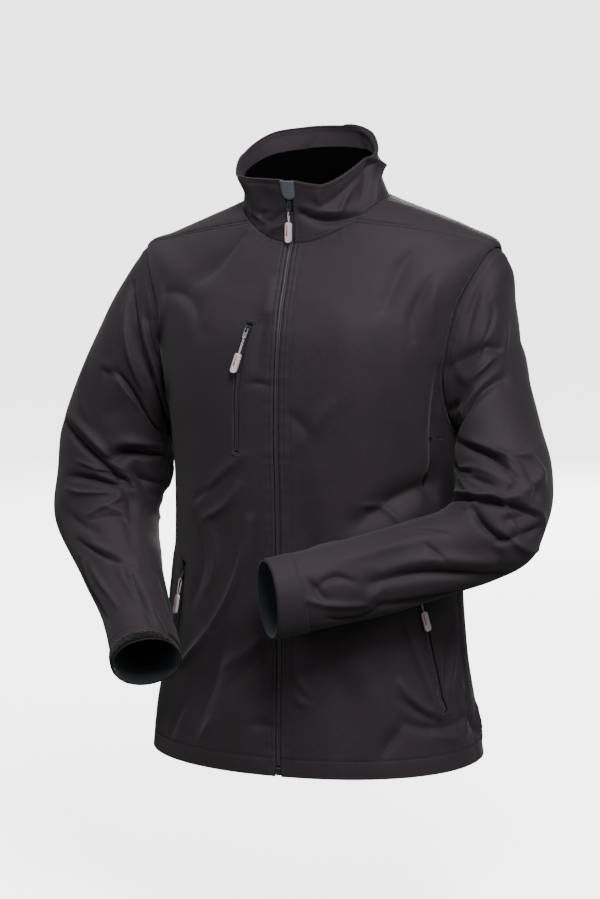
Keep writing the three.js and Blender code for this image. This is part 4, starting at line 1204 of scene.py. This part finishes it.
def bar_tack(pocket, along, half=7.0, turns=26):
    """Close zigzag stitches across an end of a window."""
    distance = np.linspace(-half, half, turns)
    length = pocket["top_up"] - pocket["low_up"]
    ends = []
    for shift in (-1.0, 1.0):
        angle, up = beside_window(pocket, distance, along + shift / length)
        ends.append(body(angle, up))
    out = outward(body, angle, up)
    stitches.append(np.stack([ends[0] + 0.25 * out, ends[1] + 0.25 * out, out], 1))


# %% Cut and stitch the windows
for pocket in pockets:
    panel_name = "left_front_cloth" if pocket["side"] > 0 else "right_front_cloth"
    blade = cutter(pocket)
    cut = pieces[panel_name].modifiers.new("window", "BOOLEAN")
    cut.operation, cut.solver, cut.object = "DIFFERENCE", "EXACT", blade
    bpy.context.view_layer.objects.active = pieces[panel_name]
    with bpy.context.temp_override(object=pieces[panel_name], active_object=pieces[panel_name]):
        bpy.ops.object.modifier_apply(modifier="window")
    bpy.data.objects.remove(blade)
    for grow in (2.0, 6.5):
        angle, up = window_outline(pocket, grow)
        stitch_along(body(angle, up), outward(body, angle, up))
    for along in (-0.018, 1.018):
        bar_tack(pocket, along)
print("windows cut in", len(pockets), "places")

# %% [markdown]
# ## Bands at the cuffs
# The cuff closes with a tab that holds on a strip of loop pile. Both could be flat pieces shrunk onto the
# sleeve. Here they are laid on the sleeve's own form, moved out by their thickness, so that they follow
# its creases. The loop pile stands up as short fibres, made by a rough bump and a ragged edge.

# %% A band on a sleeve
def band(name, surface, hand, first, last, low, high, lift, thickness, materials, wave=0.0, step=3.0):
    """A band on a sleeve between two turns and two distances along it, with softened corners."""
    turns = np.linspace(first, last, int((last - first) * 1.1 / step) + 2)
    rows = np.linspace(low, high, 8)
    if high - low > 16:
        near_edge = np.array([0, 0.8, 2.2, 3.4])
        rows = np.concatenate([low + near_edge, np.linspace(low + 6, high - 6, 8), high - near_edge[::-1]])
    turn_grid, row_grid = np.meshgrid(turns, rows)
    if wave:
        random = np.random.default_rng(7)
        row_grid = row_grid + wave * random.uniform(-1, 1, turns.shape)[None, :] * (row_grid == low)
    grid = surface(turn_grid, row_grid)
    normals = grid_normals(grid, flip=hand < 0)
    across, up = lengths(grid)
    edge = np.minimum(np.minimum(across, across[:, -1:] - across), np.minimum(up, up[-1:] - up))
    rise = lift + thickness - 0.7 * np.exp(-((edge / 1.0) ** 2)) - 0.35 * np.exp(-(((edge - 2.6) / 0.8) ** 2))
    if wave:
        rise = rise + 0.45 * random.uniform(-1, 1, rise.shape)
    grid = grid + rise[..., None] * normals
    pieces[name] = wall(name, grid, normals, thickness, materials)
    return grid, grid_normals(grid, flip=hand < 0)


# %% Tabs and loop strips
CUFFS = """
cuff hand tab_first tab_last tab_from loop_first loop_last
left  1    15 180  1.5 195 345
right -1  150 300 14   -45 150
"""
TAB_WIDTH, TAB_STITCH = 40, 2.4
LOOP_FROM, LOOP_TO = 13.5, 1.0  # the loop strip's two edges, from the end of the sleeve
for row in named_rows(CUFFS):
    side = row.pop("cuff")
    hand, tab_first, tab_last, tab_from, loop_first, loop_last = map(float, row.values())
    surface, table = (left_sleeve, LEFT_SLEEVE) if side == "left" else (right_sleeve, RIGHT_SLEEVE)
    end = rows_of(table)[-1]["along"]
    tab_end = end - tab_from
    tab = band(f"{side}_cuff_tab", surface, hand, tab_first, tab_last, tab_end - TAB_WIDTH, tab_end, 0.35,
               2.0, [SHELL])
    stitch_along(*line_across(*tab, TAB_STITCH, "low"))
    stitch_along(*line_across(*tab, TAB_STITCH, "high"))
    stitch_along(*line_up(*tab, TAB_STITCH))
    stitch_along(*line_up(*tab, TAB_STITCH, "right"))
    band(f"{side}_cuff_loop", surface, hand, loop_first, loop_last, end - LOOP_FROM, end - LOOP_TO, 0.3,
         1.8, [LOOP_PILE], wave=0.9, step=1.8)
print("cuffs:", [name for name in pieces if "cuff" in name])

# %% [markdown]
# ## The chin guard
# The chin guard is a small rounded patch of brushed knit over the top end of the zip. It is a grid like
# the bands, narrowed towards its round lower end, because a cut-out shape would need edges of its own.

# %% The chin guard
GUARD_HALF, GUARD_HEIGHT, GUARD_LEFT, GUARD_BELOW_RIM, GUARD_THICK = 6.4, 24, 0.9, 0.6, 1.8
guard_up = [0.4, 1.0, 1.8, 2.8, 4.0, 5.5, 7.5, 10, 13, 16, 19, 21.5, 23.0, 23.7, GUARD_HEIGHT]
guard_up = np.array(guard_up)[:, None]
guard_side = np.linspace(-1, 1, 15)[None, :]
roundness = np.maximum(np.sqrt(1 - np.maximum(0, 1 - guard_up / (1.4 * GUARD_HALF)) ** 2), 0.3)
distance = GUARD_LEFT + guard_side * GUARD_HALF * roundness
height = NECK_UP + COLLAR_HEIGHT - GUARD_HEIGHT - GUARD_BELOW_RIM + guard_up
grid = centre_front(distance, height)
normals = grid_normals(grid)
edge = np.minimum((1 - np.abs(guard_side)) * GUARD_HALF * roundness, guard_up)
grid = grid + (0.35 + GUARD_THICK - 0.9 * np.exp(-((edge / 1.4) ** 2)))[..., None] * normals
normals = grid_normals(grid)
pieces["chin_guard_cloth"] = wall("chin_guard_cloth", grid, normals, GUARD_THICK, [GUARD_KNIT])
rim_line = np.concatenate([grid[::-1, 1], grid[0, 2:-1], grid[:, -2]])
rim_out = np.concatenate([normals[::-1, 1], normals[0, 2:-1], normals[:, -2]])
stitch_along(rim_line, rim_out)
print("pieces of cloth and zip so far:", len(pieces))

# %% [markdown]
# ## Thread
# A stitch shows as a short plump bead of thread that dives into the cloth at both ends. A dashed line
# painted on would stay flat, so each stitch is a short capsule sunk a little into the cloth. All of them
# are one mesh, because thousands of objects would be slow.

# %% Stitches
THREAD_SIDES = 5
# the rings of one stitch: how far along it, how thick as a share of the thread, how high above the cloth
CAPSULE = ((0.0, 0.45, -0.12), (0.22, 0.95, 0.1), (0.78, 0.95, 0.1), (1.0, 0.45, -0.12))


def thread_mesh(name, runs):
    """All remembered stitches as one mesh."""
    ends = np.concatenate(runs)
    first, last, out = ends[:, 0], ends[:, 1], ends[:, 2]
    way = unit(last - first)
    side = unit(np.cross(way, out))
    rise = np.cross(side, way)
    rings = []
    for t, radius, height in CAPSULE:
        middle = first * (1 - t) + last * t + rise * height
        angles = [k * math.tau / THREAD_SIDES for k in range(THREAD_SIDES)]
        ring = [middle + THREAD_RADIUS * radius * (math.cos(a) * side + math.sin(a) * rise) for a in angles]
        rings.append(np.stack(ring, 1))
    verts = np.stack(rings, 1)
    quads = []
    for low in range(0, (len(CAPSULE) - 1) * THREAD_SIDES, THREAD_SIDES):
        for k in range(THREAD_SIDES):
            after, high = (k + 1) % THREAD_SIDES, low + THREAD_SIDES
            quads.append([low + k, low + after, high + after, high + k])
    shift = len(CAPSULE) * THREAD_SIDES * np.arange(len(verts))
    faces = (np.array(quads)[None] + shift[:, None, None]).reshape(-1, 4)
    # the thread's darker colour is painted shade along the rows of stitches
    return mesh_object(name, verts.reshape(-1, 3), faces, [THREAD])


stitch_piece = thread_mesh("topstitching", stitches)
print("stitches:", sum(len(run) for run in stitches))

# %% [markdown]
# ## Inlays in the grips
# Each moulded grip has a plain coloured inlay, let into its outer face near one edge. It could be a
# second colour on the grip, but a raised edge is how a two-shot moulding shows. The inlay finds its own
# place from the grip's shape.

# %% Inlays
INLAY_HALF, INLAY_RADIUS, INLAY_UP, INLAY_ASIDE = 6.2, 1.1, 2.6, 1.5


def inlay(zip_name):
    """A thin rounded bar on the outer face of a grip, placed by the grip's own long and thin directions."""
    mesh = bpy.data.objects[f"{zip_name}_grip"].data
    co = np.array([v.co for v in mesh.vertices]) / MM
    middle = co.mean(0)
    _, _, axes = np.linalg.svd(co - middle)
    long_way, _, out = axes
    long_way = long_way * np.sign(long_way[2])
    out = out * np.sign(out @ outward(body, np.array(-90.0), np.array(400.0)) or 1)
    wide_way = np.cross(long_way, out)
    half_thick = np.abs((co - middle) @ out).max()
    turns = np.linspace(0.01, math.tau + 0.01, 17)[:-1]
    across = [math.cos(a) * INLAY_RADIUS for a in turns]
    along = [INLAY_HALF * math.copysign(1, math.sin(a)) + math.sin(a) * INLAY_RADIUS for a in turns]
    outline = list(zip(across, along))
    base = middle + long_way * INLAY_UP - wide_way * INLAY_ASIDE
    low = [base + wide_way * x + long_way * y + out * (half_thick - 0.2) for x, y in outline]
    top = [base + wide_way * x * 0.85 + long_way * y * 0.98 + out * (half_thick + 0.25) for x, y in outline]
    count = len(outline)
    verts = [*low, *top, base + out * (half_thick - 0.2), base + out * (half_thick + 0.25)]
    faces = []
    for k in range(count):
        after = (k + 1) % count
        faces += [[k, after, count + after], [k, count + after, count + k]]
        faces += [[count + k, count + after, 2 * count + 1], [after, k, 2 * count]]
    thing = mesh_object(f"{zip_name}_grip_inlay", verts, faces, [GRIP_MARK])
    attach(thing, f"{zip_name}_pull")


# %% [markdown]
# ## What each piece is and what it rides on
# Tables list which pieces are cloth, how large each was when it was cut flat, and which solid of the CAD part it
# stands for. This could be guessed from the meshes each time, but here it was measured once on the form and on
# the picture, and written down in tables. Here only the replaced solids are used, and hidden, and each piece's
# cloth area is printed. Sizes are in millimetres and cut areas in square metres. What isn't jointed rides on the
# jacket.

# %% The large panels
PANELS = """
piece              width length cut_area replaces    held
left_front_cloth   330   890  0.205  front_left   draped
right_front_cloth  330   890  0.205  front_right  draped
back_cloth         610   880  0.450  back         draped
left_sleeve_cloth  460   640  0.225  sleeve_left  draped
right_sleeve_cloth 460   640  0.225  sleeve_right draped
collar_cloth       480    85  0.038  collar       draped
"""


def cloth_area(piece):
    """Half of all the surface of a thin closed wall, in square metres."""
    return sum(face.area for face in piece.data.polygons) / 2


for row in named_rows(PANELS):
    name, width, length, area, replaced, held = row.values()
    piece = pieces[name]
    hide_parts(replaced)
    print(name, "has", round(cloth_area(piece), 4), "m2 of cloth")

# %% Tabs, strips and tapes
SMALL_CLOTH = """
piece                  width length replaces              slot
left_cuff_tab            170   40   cuff_tab_left         shell
right_cuff_tab           160   40   cuff_tab_right        shell
left_cuff_loop           130   12.5 cuff_loop_left        hook_and_loop
right_cuff_loop          200   12.5 cuff_loop_right       hook_and_loop
main_zip_tape             22  868   zip_main              zip_tape
chest_pocket_tape         18  228   chest_pocket_zip      zip_tape
hand_pocket_right_tape    18  160   hand_pocket_right_zip zip_tape
hand_pocket_left_tape     18  190   hand_pocket_left_zip  zip_tape
chin_guard_cloth          16   24   chin_guard            chin_guard
"""
for row in named_rows(SMALL_CLOTH):
    name, width, length, replaced, slot = row.values()
    piece = pieces[name]
    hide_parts(replaced)
    print(name, "has", round(cloth_area(piece) * 1e6), "mm2 of cloth")

# %% The coils, the thread and the hard pieces
for name, piece in pieces.items():
    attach(piece, "jacket")
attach(stitch_piece, "jacket")

# the main pull's tab is plated dark like the sliders, the others bright
FINISHES = {"slider": METAL, "tab": TAB_METAL, "cord": CORD_BRAID, "grip": GRIP_RUBBER}
for zip_name in ("main", "chest_pocket", "hand_pocket_right", "hand_pocket_left"):
    for kind, finish in FINISHES.items():
        thing = bpy.data.objects[f"{zip_name}_{kind}"]
        thing.data.materials.clear()
        thing.data.materials.append(METAL if (zip_name, kind) == ("main", "tab") else finish)
    inlay(zip_name)
print("pieces on the jacket:", len(pieces) + 1)

# %% [markdown]
# ## The studio
# The picture is a cut-out on white, lit softly from above and in front. A curved paper sweep would hide
# the jacket's back from a camera behind it, so the jacket floats over a wide pale floor that is behind it
# from every side. The floor's own glow is kept off the cloth, because the picture's shadows are deep.

# %% The floor
# Paper: matt white, lit so strongly that it has no shade of its own.
PALE = plain_material("pale_paper", "#fafafa", 0.95)
PALE.node_tree.nodes["Principled BSDF"].inputs["Emission Color"].default_value = (1, 1, 1, 1)
PALE.node_tree.nodes["Principled BSDF"].inputs["Emission Strength"].default_value = 3.0
FLOOR_HALF, FLOOR_HEIGHT = 150000, -960


def backdrop():
    """A pale floor, so wide that it fills the picture behind the jacket from every side."""
    signs = [(-1, -1), (1, -1), (1, 1), (-1, 1)]
    corners = [(x * FLOOR_HALF, y * FLOOR_HALF, FLOOR_HEIGHT) for x, y in signs]
    return mesh_object("studio_floor", corners, [[0, 1, 2, 3]], [PALE])


floor = backdrop()
floor.visible_diffuse = floor.visible_glossy = False
print("the floor lies", -FLOOR_HEIGHT, "mm below the shoulders")


# %% The lamps
def softbox(name, place, target, size, watts):
    """A rectangular lamp that faces its target. Places and sizes are in metres."""
    lamp = bpy.data.lights.new(name, "AREA")
    lamp.shape, lamp.size, lamp.size_y, lamp.energy = "RECTANGLE", size[0], size[1], watts
    thing = bpy.data.objects.new(name, lamp)
    bpy.context.scene.collection.objects.link(thing)
    thing.location = place
    thing.rotation_euler = (Vector(target) - Vector(place)).to_track_quat("-Z", "Y").to_euler()
    return thing


CENTRE = (0, 0, -0.3)
lamps = [
    softbox("key_softbox", (1.4, -2.1, 2.2), (0, 0, -0.2), (1.2, 1.2), 210),
    softbox("fill_softbox", (-1.0, -3.4, 0.9), CENTRE, (1.4, 1.4), 30),
    softbox("top_softbox", (-1.1, -0.1, 2.4), CENTRE, (1.6, 1.2), 50),
    softbox("side_softbox", (2.8, -1.2, 1.2), CENTRE, (1.2, 1.6), 50),
    softbox("back_softbox", (-0.8, 3.3, 0.4), CENTRE, (1.6, 1.6), 110),
]
world = bpy.data.worlds.new("studio_air")
world.use_nodes = True
world.node_tree.nodes["Background"].inputs["Color"].default_value = (1, 1, 1, 1)
world.node_tree.nodes["Background"].inputs["Strength"].default_value = 0.22
bpy.context.scene.world = world
print("lamps:", {lamp.name: lamp.data.energy for lamp in lamps})

# %% [markdown]
# ## The camera
# It stands a little to the jacket's left and above its middle, about four metres off, with a long lens. A
# near camera with a short lens would fill the picture too, but it would swell what is nearest to it.

# %% The camera
AZIMUTH, ELEVATION, ROLL, DISTANCE = math.radians(22), math.radians(9.5), math.radians(0.9), 4000
forward = -np.array([math.sin(AZIMUTH) * math.cos(ELEVATION), -math.cos(AZIMUTH) * math.cos(ELEVATION),
                     math.sin(ELEVATION)])
level = np.array([math.cos(AZIMUTH), math.sin(AZIMUTH), 0])
upright = np.cross(level, forward)
right = level * math.cos(ROLL) - upright * math.sin(ROLL)
over = np.cross(right, forward)
AIM, SHIFT_LEFT, SHIFT_UP, LENS, SENSOR = np.array([0, 0, -350]), 26.7, 28.6, 126.1, 36
place = AIM - forward * DISTANCE - right * SHIFT_LEFT + over * SHIFT_UP
camera_data = bpy.data.cameras.new("photo_camera")
camera_data.sensor_fit, camera_data.sensor_width, camera_data.sensor_height = "VERTICAL", SENSOR, SENSOR
camera_data.lens = LENS
camera = bpy.data.objects.new("photo_camera", camera_data)
bpy.context.scene.collection.objects.link(camera)
basis = Matrix([[*axis] for axis in (right, over, -forward)]).transposed().to_4x4()
camera.matrix_world = Matrix.Translation(Vector(place) * MM) @ basis
bpy.context.scene.camera = camera
print("the camera stands at", [round(v, 3) for v in camera.location], "m")
